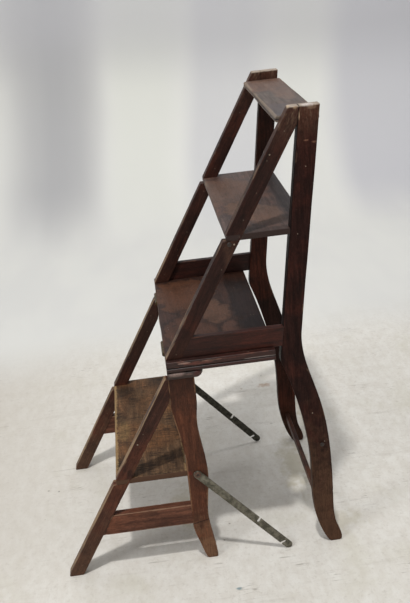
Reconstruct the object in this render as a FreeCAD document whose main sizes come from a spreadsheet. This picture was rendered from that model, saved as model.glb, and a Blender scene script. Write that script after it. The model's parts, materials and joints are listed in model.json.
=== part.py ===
import FreeCAD, Part
import math
import os

import Sketcher
from FreeCAD import Placement, Rotation, Vector

# Folding library chair that turns over into four steps, modelled as steps.
# X is the width, +Y the way the climber faces, Z up, with the floor at zero.
# Side outlines are drawn from the fold: their first number is how far behind
# the hinge pins a point lies, and their second its height above the floor.

# Driving sizes in millimetres, or plain ratios where the note says so

SIZES = [
    ("foldHeight", 450.0, "floor to the hinge pins, half of the steps' height"),
    ("frameWidth", 400.0, "across the outer faces of the two sides"),
    ("sideThickness", 20.0, "of legs, posts, stringers and rails"),
    ("stringerTopReach", 251.1519, "of an upper stringer's front at its top, from the fold"),
    ("stringerWidth", 31.0, "level width of a stringer"),
    ("meetGap", 3.0, "level gap between the two halves' stringers in the chair"),
    ("foldGap", 0.3, "between the two seat boards when stacked"),
    ("edgeGap", 0.8, "between the two seat boards in the chair"),
    ("treadThickness", 11.0, "of the three thin treads"),
    ("treadNose", 4.0, "rounding of a tread's front edge"),
    ("housingLeft", 5.0, "wood left in a stringer behind a tread's end"),
    ("lowerTreadHeight", 217.0, "top of the first tread"),
    ("middleTreadHeight", 690.0, "top of the third tread"),
    ("topTreadDrop", 17.0, "top of the fourth tread below the tops of the posts"),
    ("topTreadNosing", 10.0, "how far the top tread stands before its stringers"),
    ("topTreadOverhang", 4.0, "how far the top tread passes the posts' backs"),
    ("middleTreadOverhang", 1.0, "how far the third tread passes the posts' backs"),
    ("topTreadHousing", 6.0, "how deep the top tread is let into each side"),
    ("sideClearance", 1.0, "between the top tread's nosing and the sides"),
    ("seatThickness", 13.0, "of the hinged seat board"),
    ("seatDepth", 203.0, "of the hinged seat board"),
    ("seatOverhang", 12.0, "of the seat boards past the side frames"),
    ("lipDrop", 9.0, "of the seat board's end mouldings below the board"),
    ("lipClearance", 1.0, "around those mouldings, beside and above the fixed front part"),
    ("lipQuirk", 1.2, "of the narrow groove above the mouldings' beads"),
    ("stripDepth", 67.0, "of the fixed front part of the seat"),
    ("stripThickness", 27.0, "of the fixed front part of the seat"),
    ("stripCorner", 14.0, "rounding of its two corners, in plan"),
    ("stripRoundUnder", 14.0, "rounding under its nose"),
    ("stripRoundOver", 6.0, "rounding over its nose"),
    ("railHeight", 40.0, "of the side rails on the hinged seat board"),
    ("railThickness", 12.0, "of the side rails, flush with the outer faces"),
    ("apronHeight", 29.0, "of the rail between the two front legs"),
    ("apronThickness", 16.0, "of that rail"),
    ("apronSetback", 9.0, "of that rail behind the legs' front edges"),
    ("legTopWidth", 50.0, "of a front leg under the seat"),
    ("legStraight", 51.0, "height of a front leg's straight top"),
    ("legShinSetback", 16.0, "of a front leg's rear edge below the tread, from the fold"),
    ("legWaistWidth", 47.0, "of a front leg at its waist, from the fold"),
    ("legWaistHeight", 338.0, "of that waist"),
    ("legPivotWidth", 57.0, "of a front leg at the stay's pivot, from the fold"),
    ("legAnkleWidth", 49.0, "of a front leg at its ankle, from the fold"),
    ("legAnkleHeight", 102.0, "of that ankle"),
    ("legToeReach", 61.0, "of a front leg's toe, from the fold"),
    ("legFootLength", 22.0, "of a front leg on the floor"),
    ("legToeEase", 5.0, "of a front leg's instep behind its toe"),
    ("legToeHeight", 43.0, "of that instep"),
    ("legToeSlope", 0.1, "forward lean of a front leg's toe, as a ratio"),
    ("legHeelSlope", 0.45, "forward lean of a front leg's heel, as a ratio"),
    ("legHeelShare", 0.42, "share of the heel's reach at half its height"),
    ("legThighShare", 0.55, "share of the shin's setback halfway up to the straight top"),
    ("shinRise", 16.0, "of a front leg's upright rear edge above the first tread"),
    ("shinDrop", 2.0, "of that edge below the side stretcher"),
    ("stretcherHeight", 135.0, "top of the side stretchers"),
    ("stretcherDepth", 45.0, "of the side stretchers"),
    ("stretcherThickness", 17.0, "of the side stretchers"),
    ("postTopReach", 305.0, "of a post's back at the top, from the fold"),
    ("postWidth", 36.0, "level width of a post above the seat"),
    ("postRake", 0.12, "ratio of a post's lean to its height"),
    ("kneeHeight", 432.0, "where a post's front turns back, under the seat"),
    ("kneeSlope", 0.38, "slant of a post's front just below the knee, as a ratio"),
    ("kneeShare", 0.7, "share of the front's swing reached midway to the upright part"),
    ("napeHeight", 492.0, "where a post's back begins to turn"),
    ("thighReach", 284.0, "of a post's back at the middle of the turn, from the fold"),
    ("thighHeight", 341.0, "of that place"),
    ("calfReach", 302.5, "of a post's back at the upright part, from the fold"),
    ("calfHeight", 190.0, "of that part"),
    ("calfWidth", 40.0, "level width of a post there"),
    ("heelReach", 321.5, "of a post's flared foot, from the fold"),
    ("heelLength", 28.0, "of that foot on the floor"),
    ("ankleHeight", 88.0, "where a post's foot begins to flare"),
    ("ankleSwell", 1.0, "of a post just above its ankle"),
    ("ankleRise", 20.0, "of the back's last upright place above the ankle"),
    ("ankleFrontRise", 12.0, "of the front's last upright place above the ankle"),
    ("footFlare", 0.62, "backward slant of a post's sole, as a ratio"),
    ("instepReach", 12.0, "of the foot's back before its heel"),
    ("instepHeight", 40.0, "of that place"),
    ("soleReach", 10.0, "of the foot's front behind the upright part"),
    ("soleHeight", 48.0, "of that place"),
    ("heelSlope", 0.12, "slant of the heel's back at the floor, as a ratio"),
    ("crestHeight", 73.0, "middle of the crest rail, above the floor"),
    ("crestDepth", 17.0, "upright size of the crest rail"),
    ("crestThickness", 9.0, "level size of the crest rail"),
    ("crestSetback", 15.0, "of the crest rail behind the posts' fronts"),
    ("hingeLength", 52.0, "of each butt hinge"),
    ("hingeSpread", 122.0, "from the middle to each hinge's middle"),
    ("leafWidth", 26.0, "of a hinge leaf, from the pin"),
    ("leafThickness", 2.0, "of a hinge leaf"),
    ("knuckleRadius", 4.2, "of the hinge knuckles"),
    ("knuckleGap", 0.4, "between neighbouring knuckles"),
    ("pinRadius", 1.9, "of the hinge pins"),
    ("runningFit", 0.05, "round pins and pivots"),
    ("pivotReach", 36.0, "of the stays' pivots, from the fold"),
    ("pivotHeight", 208.0, "of the stays' pivots"),
    ("stayLength", 262.0, "from a stay's pivot to its end's centre"),
    ("stayWidth", 16.0, "of the flat stays"),
    ("stayThickness", 3.0, "of the flat stays"),
    ("stayGap", 0.3, "between a stay and what it lies beside"),
    ("hookRadius", 250.0, "from a stay's pivot to its end notch"),
    ("chairHookRadius", 172.0, "from a stay's pivot to its other notch"),
    ("notchWidth", 5.4, "of a stay's notches"),
    ("notchLean", 3.0, "how far a notch leans towards the pivot"),
    ("studRadius", 2.4, "of the studs that the notches hook on"),
    ("studHead", 4.2, "radius of the studs' heads"),
    ("studHeight", 240.0, "of the studs on the posts"),
    ("chairStudHeight", 675.0, "of the studs on the upper stringers"),
    ("studSink", 12.0, "how deep studs and pivot screws go into the wood"),
    ("holeRoom", 0.5, "left in a hole beyond a stud's end"),
    ("pivotRadius", 3.0, "of the pivot screws' shanks"),
    ("pivotHead", 6.8, "radius of the pivot screws' heads"),
    ("headThickness", 2.2, "of screw and stud heads"),
    ("headBevel", 1.3, "of the rims of those heads"),
    ("floorGap", 0.3, "under a stay's end, which leans on the floor"),
]

os.makedirs("parts", exist_ok=True)
doc = FreeCAD.newDocument("FoldingStepChair")
sheet = doc.addObject("Spreadsheet::Sheet", "Sizes")


class Size:
    # A length that keeps both its number and the sheet formula it comes from
    def __init__(self, text, value):
        self.text = text
        self.value = float(value)

    def joined(self, sign, other, value):
        return Size("(%s %s %s)" % (self.text, sign, other.text), value)

    def __add__(self, other):
        other = asSize(other)
        return self.joined("+", other, self.value + other.value)

    def __sub__(self, other):
        other = asSize(other)
        return self.joined("-", other, self.value - other.value)

    def __mul__(self, other):
        other = asSize(other)
        return self.joined("*", other, self.value * other.value)

    def __truediv__(self, other):
        other = asSize(other)
        return self.joined("/", other, self.value / other.value)

    def __neg__(self):
        return Size("(0 - %s)" % self.text, -self.value)

    def __radd__(self, other):
        return asSize(other) + self

    def __rsub__(self, other):
        return asSize(other) - self

    def __rmul__(self, other):
        return asSize(other) * self

    def root(self):
        return Size("sqrt(%s)" % self.text, math.sqrt(self.value))


def asSize(number):
    if isinstance(number, Size):
        return number
    return Size(repr(float(number)), number)


size = {}
for row, (alias, value, note) in enumerate(SIZES, start=1):
    sheet.set("A%d" % row, alias)
    sheet.set("B%d" % row, repr(value))
    sheet.set("C%d" % row, note)
    sheet.setAlias("B%d" % row, alias)
    size[alias] = Size("Sizes." + alias, value)
doc.recompute()

# Places worked out from the sizes

fold = size["foldHeight"]
fullHeight = fold * 2
halfWidth = size["frameWidth"] / 2
thickness = size["sideThickness"]
innerHalf = halfWidth - thickness
stripTop = fold - size["foldGap"] / 2
stripBottom = stripTop - size["stripThickness"]
boardBottom = fold + size["foldGap"] / 2
boardTop = boardBottom + size["seatThickness"]
boardFront = size["edgeGap"] / 2
lean = (size["stringerTopReach"] - boardFront) / (fullHeight - boardTop)
topTreadTop = fullHeight - size["topTreadDrop"]
postTopFront = size["postTopReach"] - size["postWidth"]
studReach = size["pivotReach"] + (
    size["hookRadius"] * size["hookRadius"]
    - (size["studHeight"] - size["pivotHeight"]) * (size["studHeight"] - size["pivotHeight"])
).root()
chairStudFolded = fullHeight - size["chairStudHeight"]
chairStudReach = (
    size["chairHookRadius"] * size["chairHookRadius"]
    - (chairStudFolded - size["pivotHeight"]) * (chairStudFolded - size["pivotHeight"])
).root() - size["pivotReach"]

# An upper stringer's slant starts at the seat board's front corner. Folded over,
# it lies along the lower stringer's slant, apart by the meeting gap.


def upperFront(height):
    return lean * (height - boardTop) + boardFront


def upperBack(height):
    return upperFront(height) + size["stringerWidth"]


def lowerFront(height):
    return lean * (height + boardTop - fullHeight) - boardFront + size["meetGap"]


def lowerBack(height):
    return lowerFront(height) + size["stringerWidth"]


def postFront(height):
    return postTopFront + size["postRake"] * (height - fullHeight)


def postBack(height):
    return postFront(height) + size["postWidth"]


# The footprint runs from the stringers' toes to the posts' heels, and the
# origin lies under its middle.
foldPlace = -(lowerFront(asSize(0)) + size["heelReach"]) / 2


# Small helpers for bodies, sketches and features


def bind(thing, prop, length):
    thing.setExpression(prop, asSize(length).text)


def place(thing, x, y, z):
    thing.Placement = Placement(Vector(x.value, y.value, z.value), Rotation())
    bind(thing, ".Placement.Base.x", x)
    bind(thing, ".Placement.Base.y", y)
    bind(thing, ".Placement.Base.z", z)


def newBody(name):
    body = doc.addObject("PartDesign::Body", name)
    body.Label = name
    return body


def newSketch(body, name, role):
    sketch = body.newObject("Sketcher::SketchObject", name)
    plane = [item for item in body.Origin.OriginFeatures if item.Role == role][0]
    sketch.AttachmentSupport = [(plane, "")]
    sketch.MapMode = "FlatFace"
    return sketch


def arcBetween(start, end, radius, turn):
    # Centre of the shorter arc; turn is 1 for a left turn and -1 for a right turn
    chord = end - start
    middle = (start + end) * 0.5
    side = Vector(-chord.y, chord.x, 0).normalize()
    centre = middle + side * (turn * math.sqrt(max(radius**2 - (chord.Length / 2) ** 2, 0.0)))
    first, last = (start, end) if turn > 0 else (end, start)
    startAngle = math.atan2(first.y - centre.y, first.x - centre.x)
    endAngle = math.atan2(last.y - centre.y, last.x - centre.x)
    circle = Part.Circle(centre, Vector(0, 0, 1), radius)
    return Part.ArcOfCircle(circle, startAngle, endAngle)


def drawOutline(sketch, corners, bends=None):
    # Closed outline of lines, with an arc of its radius where bends names one
    bends = bends or {}
    points = [Vector(asSize(x).value, asSize(y).value, 0) for x, y in corners]
    count = len(points)
    ends = []
    for index in range(count):
        start = points[index]
        end = points[(index + 1) % count]
        if index in bends:
            radius, turn = bends[index]
            edge = sketch.addGeometry(arcBetween(start, end, radius.value, turn), False)
            ends.append((edge, 1, 2) if turn > 0 else (edge, 2, 1))
            rule = sketch.addConstraint(Sketcher.Constraint("Radius", edge, radius.value))
            bind(sketch, "Constraints[%d]" % rule, radius)
        else:
            edge = sketch.addGeometry(Part.LineSegment(start, end), False)
            ends.append((edge, 1, 2))
    for index in range(count):
        edge, first, last = ends[index]
        after, afterFirst, afterLast = ends[(index + 1) % count]
        sketch.addConstraint(Sketcher.Constraint("Coincident", edge, last, after, afterFirst))
        for axis, length, number in (
            ("DistanceX", corners[index][0], points[index].x),
            ("DistanceY", corners[index][1], points[index].y),
        ):
            rule = sketch.addConstraint(
                Sketcher.Constraint(axis, -1, 1, edge, first, number)
            )
            bind(sketch, "Constraints[%d]" % rule, length)


def addPad(body, sketch, name, length, backward=False):
    pad = body.newObject("PartDesign::Pad", name)
    pad.Profile = sketch
    pad.Length = asSize(length).value
    bind(pad, "Length", length)
    pad.Reversed = backward
    return pad


def addPocket(body, sketch, name, length, backward=False):
    pocket = body.newObject("PartDesign::Pocket", name)
    pocket.Profile = sketch
    pocket.Length = asSize(length).value
    bind(pocket, "Length", length)
    pocket.Reversed = backward
    return pocket


def addFillet(body, base, name, radius, chosen):
    doc.recompute()
    edges = [
        "Edge%d" % number
        for number, edge in enumerate(base.Shape.Edges, start=1)
        if chosen(edge)
    ]
    fillet = body.newObject("PartDesign::Fillet", name)
    fillet.Base = (base, edges)
    fillet.Radius = asSize(radius).value
    bind(fillet, "Radius", radius)
    body.Tip = fillet
    return fillet


def near(a, b):
    return abs(a - b) < 0.01


def sideBoard(name, x, width, corners):
    # A flat board of the side frames: an outline seen from the side, made solid
    body = newBody(name)
    sketch = newSketch(body, name + "_outline", "YZ_Plane")
    drawOutline(sketch, corners)
    addPad(body, sketch, name + "_board", width)
    place(body, x, foldPlace, asSize(0))
    return body


def box(name, x, y, z, length, width, height):
    thing = doc.addObject("Part::Box", name)
    for prop, value in (("Length", length), ("Width", width), ("Height", height)):
        setattr(thing, prop, asSize(value).value)
        bind(thing, prop, value)
    place(thing, asSize(x), foldPlace + y, asSize(z))
    return thing


def rod(name, x, y, z, radius, length):
    # A cylinder along X
    thing = doc.addObject("Part::Cylinder", name)
    for prop, value in (("Radius", radius), ("Height", length)):
        setattr(thing, prop, asSize(value).value)
        bind(thing, prop, value)
    place(thing, asSize(x), foldPlace + y, asSize(z))
    thing.Placement = Placement(thing.Placement.Base, Rotation(Vector(0, 1, 0), 90))
    return thing


def fused(name, things):
    result = doc.addObject("Part::MultiFuse", name)
    result.Shapes = things
    result.Label = name
    return result


def cut(name, base, tool):
    result = doc.addObject("Part::Cut", name)
    result.Base = base
    result.Tool = tool
    result.Label = name
    return result


def gathered(name, things):
    result = doc.addObject("Part::Compound", name)
    result.Links = things
    result.Label = name
    return result


def sides():
    # Name, the x where a side board starts, and which way is outward
    return (("left", -halfWidth, -1), ("right", innerHalf, 1))


# Curved members: their outlines are splines through the places named above


def smooth(points, startTangent=None, endTangent=None):
    curve = Part.BSplineCurve()
    places = [Vector(0, y, z) for y, z in points]
    if startTangent is None:
        curve.interpolate(places)
    else:
        curve.interpolate(
            Points=places,
            InitialTangent=Vector(0, *startTangent),
            FinalTangent=Vector(0, *endTangent),
        )
    return curve.toShape()


def straight(first, last):
    return Part.makeLine(Vector(0, *first), Vector(0, *last))


def curvedBoard(name, x, width, edges):
    face = Part.Face(Part.Wire(edges))
    solid = face.extrude(Vector(width.value, 0, 0))
    thing = doc.addObject("Part::Feature", name)
    thing.Shape = solid
    place(thing, x, foldPlace, asSize(0))
    return thing


def postEdges():
    top = fullHeight.value
    knee = size["kneeHeight"].value
    nape = size["napeHeight"].value
    thigh = size["thighHeight"].value
    calf = size["calfHeight"].value
    ankle = size["ankleHeight"].value
    rake = size["postRake"].value
    heel = size["heelReach"].value
    calfBack = size["calfReach"].value
    calfFront = calfBack - size["calfWidth"].value
    kneeFront = postFront(size["kneeHeight"]).value
    flare = size["footFlare"].value
    swell = size["ankleSwell"].value
    thighFront = kneeFront + (calfFront - kneeFront) * size["kneeShare"].value
    backTurn = [
        (postBack(size["napeHeight"]).value, nape),
        (size["thighReach"].value, thigh),
        (calfBack, calf),
        (calfBack + swell, ankle + size["ankleRise"].value),
        (heel - size["instepReach"].value, size["instepHeight"].value),
        (heel, 0),
    ]
    frontTurn = [
        (heel - size["heelLength"].value, 0),
        (calfFront + size["soleReach"].value, size["soleHeight"].value),
        (calfFront + swell, ankle + size["ankleFrontRise"].value),
        (calfFront, calf),
        (thighFront, (knee + calf) / 2),
        (kneeFront, knee),
    ]
    return [
        straight((postFront(fullHeight).value, top), (postBack(fullHeight).value, top)),
        straight((postBack(fullHeight).value, top), backTurn[0]),
        smooth(backTurn, (-rake, -1), (size["heelSlope"].value, -1)),
        straight(backTurn[-1], frontTurn[0]),
        smooth(frontTurn, (-flare, 1), (-size["kneeSlope"].value, 1)),
        straight(frontTurn[-1], (postFront(fullHeight).value, top)),
    ]


def legEdges():
    top = stripBottom.value
    shoulder = top - size["legStraight"].value
    shin = size["legShinSetback"].value
    shinTop = (size["lowerTreadHeight"] + size["shinRise"]).value
    shinBottom = (stretcherBottom - size["shinDrop"]).value
    waist = size["legWaistHeight"].value
    pivot = size["pivotHeight"].value
    ankle = size["legAnkleHeight"].value
    toe = size["legToeReach"].value
    heel = toe - size["legFootLength"].value
    width = size["legTopWidth"].value
    front = [
        (width, shoulder),
        (size["legWaistWidth"].value, waist),
        (size["legPivotWidth"].value, pivot),
        (size["legAnkleWidth"].value, ankle),
        (toe - size["legToeEase"].value, size["legToeHeight"].value),
        (toe, 0),
    ]
    rearFoot = [
        (heel, 0),
        (shin + (heel - shin) * size["legHeelShare"].value, shinBottom / 2),
        (shin, shinBottom),
    ]
    rearThigh = [
        (shin, shinTop),
        (shin * size["legThighShare"].value, (shinTop + shoulder) / 2),
        (0, shoulder),
    ]
    return [
        straight((0, top), (width, top)),
        straight((width, top), front[0]),
        smooth(front, (0, -1), (size["legToeSlope"].value, -1)),
        straight(front[-1], rearFoot[0]),
        smooth(rearFoot, (-size["legHeelSlope"].value, 1), (0, 1)),
        straight(rearFoot[-1], rearThigh[0]),
        smooth(rearThigh, (0, 1), (0, 1)),
        straight(rearThigh[-1], (0, top)),
    ]


stretcherTop = size["stretcherHeight"]
stretcherBottom = stretcherTop - size["stretcherDepth"]

# Treads as plain boards, before they are let into the sides

lowerTreadFront = lowerFront(size["lowerTreadHeight"])
middleTreadFront = upperFront(size["middleTreadHeight"])
topFront = upperFront(topTreadTop) - size["topTreadNosing"]
topBack = postBack(topTreadTop) + size["topTreadOverhang"]
middleBack = postBack(size["middleTreadHeight"]) + size["middleTreadOverhang"]


def treadBoard(name, halfSpan, front, back, top):
    # A board with a rounded front edge, drawn in section and made as long as the tread
    body = newBody(name)
    sketch = newSketch(body, name + "_section", "YZ_Plane")
    bottom = top - size["treadThickness"]
    nose = size["treadNose"]
    corners = [
        (back, bottom),
        (back, top),
        (front + nose, top),
        (front, top - nose),
        (front, bottom + nose),
        (front + nose, bottom),
    ]
    drawOutline(sketch, corners, {2: (nose, 1), 4: (nose, 1)})
    addPad(body, sketch, name + "_board", halfSpan * 2)
    place(body, -halfSpan, foldPlace, asSize(0))
    return body


lowerBoard = treadBoard(
    "lower_tread_board", halfWidth, lowerTreadFront, size["legShinSetback"],
    size["lowerTreadHeight"],
)
middleBoard = treadBoard(
    "middle_tread_board", halfWidth, middleTreadFront, middleBack, size["middleTreadHeight"]
)
topBlank = treadBoard(
    "top_tread_board", innerHalf + size["topTreadHousing"], topFront, topBack,
    topTreadTop,
)
# The nosing stands before the stringers only between them, clear of the lower
# stringers when the steps are folded into the chair
topCorners = []
for side, sign in (("left", -1), ("right", 1)):
    reach = size["topTreadHousing"] + size["sideClearance"]
    start = innerHalf - size["sideClearance"] if sign > 0 else -innerHalf - size["topTreadHousing"]
    topCorners.append(box(
        "top_tread_corner_" + side, start, topFront - size["sideClearance"],
        topTreadTop - size["treadThickness"], reach,
        size["topTreadNosing"] + size["sideClearance"], size["treadThickness"],
    ))
topBoard = cut("top_tread", topBlank, fused("top_tread_corners", topCorners))

# Lower half: stringers, front legs, stretchers


def housing(body, name, back, top):
    # Notch in a stringer's front for the end of a tread
    sketch = newSketch(body, name + "_notch_outline", "YZ_Plane")
    bottom = top - size["treadThickness"]
    outside = back(bottom) - size["stringerWidth"] * 2
    drawOutline(sketch, [
        (outside, bottom), (back(bottom) - size["housingLeft"], bottom),
        (back(top) - size["housingLeft"], top), (outside, top),
    ])
    pocket = addPocket(body, sketch, name + "_notch", thickness, True)
    body.Tip = pocket
    return pocket


legMeet = fullHeight - boardTop - (size["stringerWidth"] + size["meetGap"] - boardFront) / lean
lowerStringers = {}
upperStringers = {}
legs = {}
posts = {}
nodes = []

for side, start, outward in sides():
    name = "lower_stringer_" + side
    corners = [
        (lowerFront(asSize(0)), asSize(0)),
        (lowerBack(asSize(0)), asSize(0)),
        (asSize(0), legMeet),
        (asSize(0), stripBottom),
        (lowerFront(stripBottom), stripBottom),
    ]
    body = sideBoard(name, start, thickness, corners)
    housing(body, name, lowerBack, size["lowerTreadHeight"])
    lowerStringers[side] = body
    nodes.append((name, body))

for side, start, outward in sides():
    begin = start + (thickness - size["stretcherThickness"]) / 2
    name = "side_stretcher_" + side
    corners = [
        (lowerBack(stretcherBottom), stretcherBottom),
        (size["legShinSetback"], stretcherBottom),
        (size["legShinSetback"], stretcherTop),
        (lowerBack(stretcherTop), stretcherTop),
    ]
    body = sideBoard(name, begin, size["stretcherThickness"], corners)
    nodes.append((name, body))


def screwHole(name, side, reach, height, radius):
    # Hole from a side's outer face inward, for a stud or a screw
    depth = size["studSink"] + size["holeRoom"]
    past = size["stayThickness"]
    if side == "right":
        return rod(name, halfWidth - depth, reach, height, radius, depth + past)
    return rod(name, -halfWidth - past, reach, height, radius, depth + past)


for side, start, outward in sides():
    name = "front_leg_" + side
    blank = curvedBoard(name + "_blank", start, thickness, legEdges())
    hole = screwHole(
        name + "_hole", side, size["pivotReach"], size["pivotHeight"],
        size["pivotRadius"] + size["runningFit"],
    )
    legs[side] = cut(name, blank, hole)
    nodes.append((name, legs[side]))

# Upper half: posts and stringers, with housings for the treads

postMeet = (
    postTopFront - size["postRake"] * fullHeight
    + lean * boardTop - boardFront - size["stringerWidth"]
) / (lean - size["postRake"])

for side, start, outward in sides():
    name = "back_post_" + side
    blank = curvedBoard(name + "_blank", start, thickness, postEdges())
    hole = screwHole(
        name + "_hole", side, studReach, size["studHeight"], size["studRadius"] + size["runningFit"]
    )
    tool = fused(name + "_housings", [topBoard, hole])
    posts[side] = cut(name, blank, tool)
    nodes.append((name, posts[side]))

for side, start, outward in sides():
    name = "upper_stringer_" + side
    corners = [
        (upperFront(boardTop), boardTop),
        (upperBack(boardTop), boardTop),
        (upperBack(postMeet), postMeet),
        (postFront(fullHeight), fullHeight),
        (upperFront(fullHeight), fullHeight),
    ]
    body = sideBoard(name + "_board", start, thickness, corners)
    housing(body, name, upperBack, size["middleTreadHeight"])
    hole = screwHole(
        name + "_hole", side, chairStudReach, size["chairStudHeight"],
        size["studRadius"] + size["runningFit"],
    )
    tool = fused(name + "_housings", [topBoard, hole])
    upperStringers[side] = cut(name, body, tool)
    nodes.append((name, upperStringers[side]))

for side, start, outward in sides():
    name = "seat_rail_" + side
    railTop = boardTop + size["railHeight"]
    corners = [
        (upperBack(boardTop), boardTop),
        (postFront(boardTop), boardTop),
        (postFront(railTop), railTop),
        (upperBack(railTop), railTop),
    ]
    begin = start if outward < 0 else halfWidth - size["railThickness"]
    nodes.append((name, sideBoard(name, begin, size["railThickness"], corners)))

nodes.append(("top_tread", topBoard))
lowerSides = fused("lower_tread_slots", [lowerStringers["left"], lowerStringers["right"]])
nodes.append(("lower_tread", cut("lower_tread", lowerBoard, lowerSides)))
upperSides = fused(
    "middle_tread_slots",
    [upperStringers["left"], upperStringers["right"], posts["left"], posts["right"]],
)
nodes.append(("middle_tread", cut("middle_tread", middleBoard, upperSides)))

# Rails between the two sides

apronFront = size["legTopWidth"] - size["apronSetback"] - size["apronThickness"]
apron = box(
    "front_rail", -innerHalf, apronFront, stripBottom - size["apronHeight"],
    innerHalf * 2, size["apronThickness"], size["apronHeight"],
)
nodes.append(("front_rail", apron))

crestFront = size["calfReach"] - size["calfWidth"] + size["crestSetback"]
crest = box(
    "crest_rail", -innerHalf, crestFront, size["crestHeight"] - size["crestDepth"] / 2,
    innerHalf * 2, size["crestThickness"], size["crestDepth"],
)
nodes.append(("crest_rail", crest))

# Butt hinges, two of five knuckles each, and the recesses they lie in

knuckleCount = 5
knuckleLength = size["hingeLength"] / knuckleCount
bore = size["pinRadius"] + size["runningFit"]


def hingeLeaf(name, middle, owned, upper):
    first = middle - size["hingeLength"] / 2
    if upper:
        low = boardBottom
    else:
        low = stripTop - size["leafThickness"]
    clear = size["knuckleRadius"] + size["knuckleGap"]
    pieces = [
        box(name + "_plate", first, clear, low, size["hingeLength"],
            size["leafWidth"] - clear, size["leafThickness"])
    ]
    for number in owned:
        begin = first + knuckleLength * number + size["knuckleGap"] / 2
        length = knuckleLength - size["knuckleGap"]
        pieces.append(rod("%s_knuckle_%d" % (name, number), begin, asSize(0), fold,
                          size["knuckleRadius"], length))
        pieces.append(box("%s_web_%d" % (name, number), begin, asSize(0), low, length,
                          clear + size["leafThickness"] / 2, size["leafThickness"]))
    whole = fused(name + "_whole", pieces)
    hole = rod(name + "_bore", first - bore, asSize(0), fold, bore,
               size["hingeLength"] + bore * 2)
    return cut(name, whole, hole)


mortises = []
pins = []
for side, sign in (("left", -1), ("right", 1)):
    middle = size["hingeSpread"] * sign
    first = middle - size["hingeLength"] / 2
    nodes.append((
        "hinge_leaf_fixed_" + side, hingeLeaf(
            "hinge_leaf_fixed_" + side, middle, range(0, knuckleCount, 2), False
        )
    ))
    nodes.append((
        "hinge_leaf_moving_" + side, hingeLeaf(
            "hinge_leaf_moving_" + side, middle, range(1, knuckleCount, 2), True
        )
    ))
    mortises.append(box(
        "leaf_recess_" + side, first, -size["knuckleRadius"],
        stripTop - size["leafThickness"], size["hingeLength"],
        size["leafWidth"] + size["knuckleRadius"],
        size["leafThickness"] * 2 + size["foldGap"],
    ))
    mortises.append(rod(
        "knuckle_recess_" + side, first - size["knuckleGap"], asSize(0), fold,
        size["knuckleRadius"] + size["knuckleGap"], size["hingeLength"] + size["knuckleGap"] * 2,
    ))
    pins.append(rod("hinge_pin_" + side, first, asSize(0), fold, size["pinRadius"],
                    size["hingeLength"]))
recesses = fused("hinge_recesses", mortises)
nodes.append(("hinge_pins", gathered("hinge_pins", pins)))

# Fixed front part of the seat, with a round nose and round ends

stripBody = newBody("seat_front_board")
stripSketch = newSketch(stripBody, "seat_front_plan", "XY_Plane")
seatHalf = halfWidth + size["seatOverhang"]
corner = size["stripCorner"]
drawOutline(
    stripSketch,
    [
        (-seatHalf, boardFront),
        (seatHalf, boardFront),
        (seatHalf, size["stripDepth"] - corner),
        (seatHalf - corner, size["stripDepth"]),
        (corner - seatHalf, size["stripDepth"]),
        (-seatHalf, size["stripDepth"] - corner),
    ],
    {2: (corner, 1), 4: (corner, 1)},
)
stripPad = addPad(stripBody, stripSketch, "seat_front_slab", size["stripThickness"])


def noseEdges(height):
    # The ends, the corners and the nose of the slab's face at this height
    def chosen(edge):
        ring = edge.BoundBox
        flat = near(ring.ZMin, height) and near(ring.ZMax, height)
        rear = near(ring.YMin, boardFront.value) and near(ring.YMax, boardFront.value)
        return flat and not rear
    return chosen


under = addFillet(stripBody, stripPad, "seat_front_under", size["stripRoundUnder"], noseEdges(0))
addFillet(
    stripBody, under, "seat_front_over", size["stripRoundOver"],
    noseEdges(size["stripThickness"].value),
)
place(stripBody, asSize(0), foldPlace, stripBottom)

# A rebate along each end makes room for the seat board's mouldings

rebateSide = halfWidth - size["lipClearance"] / 2
rebateFoot = boardBottom - size["lipDrop"] - size["lipClearance"]
rebateLength = size["stripDepth"] + size["edgeGap"]
rebateWidth = seatHalf - rebateSide + size["lipClearance"]
rebates = [
    box("seat_front_rebate_left", -rebateSide - rebateWidth, asSize(0), rebateFoot,
        rebateWidth, rebateLength, boardTop - rebateFoot),
    box("seat_front_rebate_right", rebateSide, asSize(0), rebateFoot,
        rebateWidth, rebateLength, boardTop - rebateFoot),
]
emptied = fused("seat_front_hollows", [recesses] + rebates)
nodes.append(("seat_front", cut("seat_front", stripBody, emptied)))

# Hinged seat board: along each end a moulding hangs below it, outside the fixed part,
# with a bead, a narrow groove and a flat band

boardBody = newBody("seat_board_slab")
boardSketch = newSketch(boardBody, "seat_board_section", "XZ_Plane")
lipSide = halfWidth + size["lipClearance"] / 2
lipFoot = -size["lipDrop"]
bead = size["lipDrop"] / 2
beadSide = seatHalf - bead
quirk = size["lipQuirk"]
bandSide = seatHalf - quirk
boardHeight = size["seatThickness"]
drawOutline(
    boardSketch,
    [
        (lipSide, asSize(0)),
        (lipSide, lipFoot),
        (beadSide, lipFoot),
        (seatHalf, lipFoot + bead),
        (beadSide, asSize(0)),
        (beadSide, quirk),
        (bandSide, quirk),
        (bandSide, boardHeight - quirk),
        (bandSide - quirk, boardHeight),
        (quirk - bandSide, boardHeight),
        (-bandSide, boardHeight - quirk),
        (-bandSide, quirk),
        (-beadSide, quirk),
        (-beadSide, asSize(0)),
        (-seatHalf, lipFoot + bead),
        (-beadSide, lipFoot),
        (-lipSide, lipFoot),
        (-lipSide, asSize(0)),
    ],
    {2: (bead, 1), 3: (bead, 1), 7: (quirk, 1), 9: (quirk, 1), 13: (bead, 1), 14: (bead, 1)},
)
addPad(boardBody, boardSketch, "seat_board_run", size["seatDepth"] - boardFront, True)
place(boardBody, asSize(0), foldPlace + boardFront, boardBottom)
nodes.append(("seat_board", cut("seat_board", boardBody, recesses)))

# Studs and pivot screws: a shank in the wood and a bevelled head outside the stay


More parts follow.
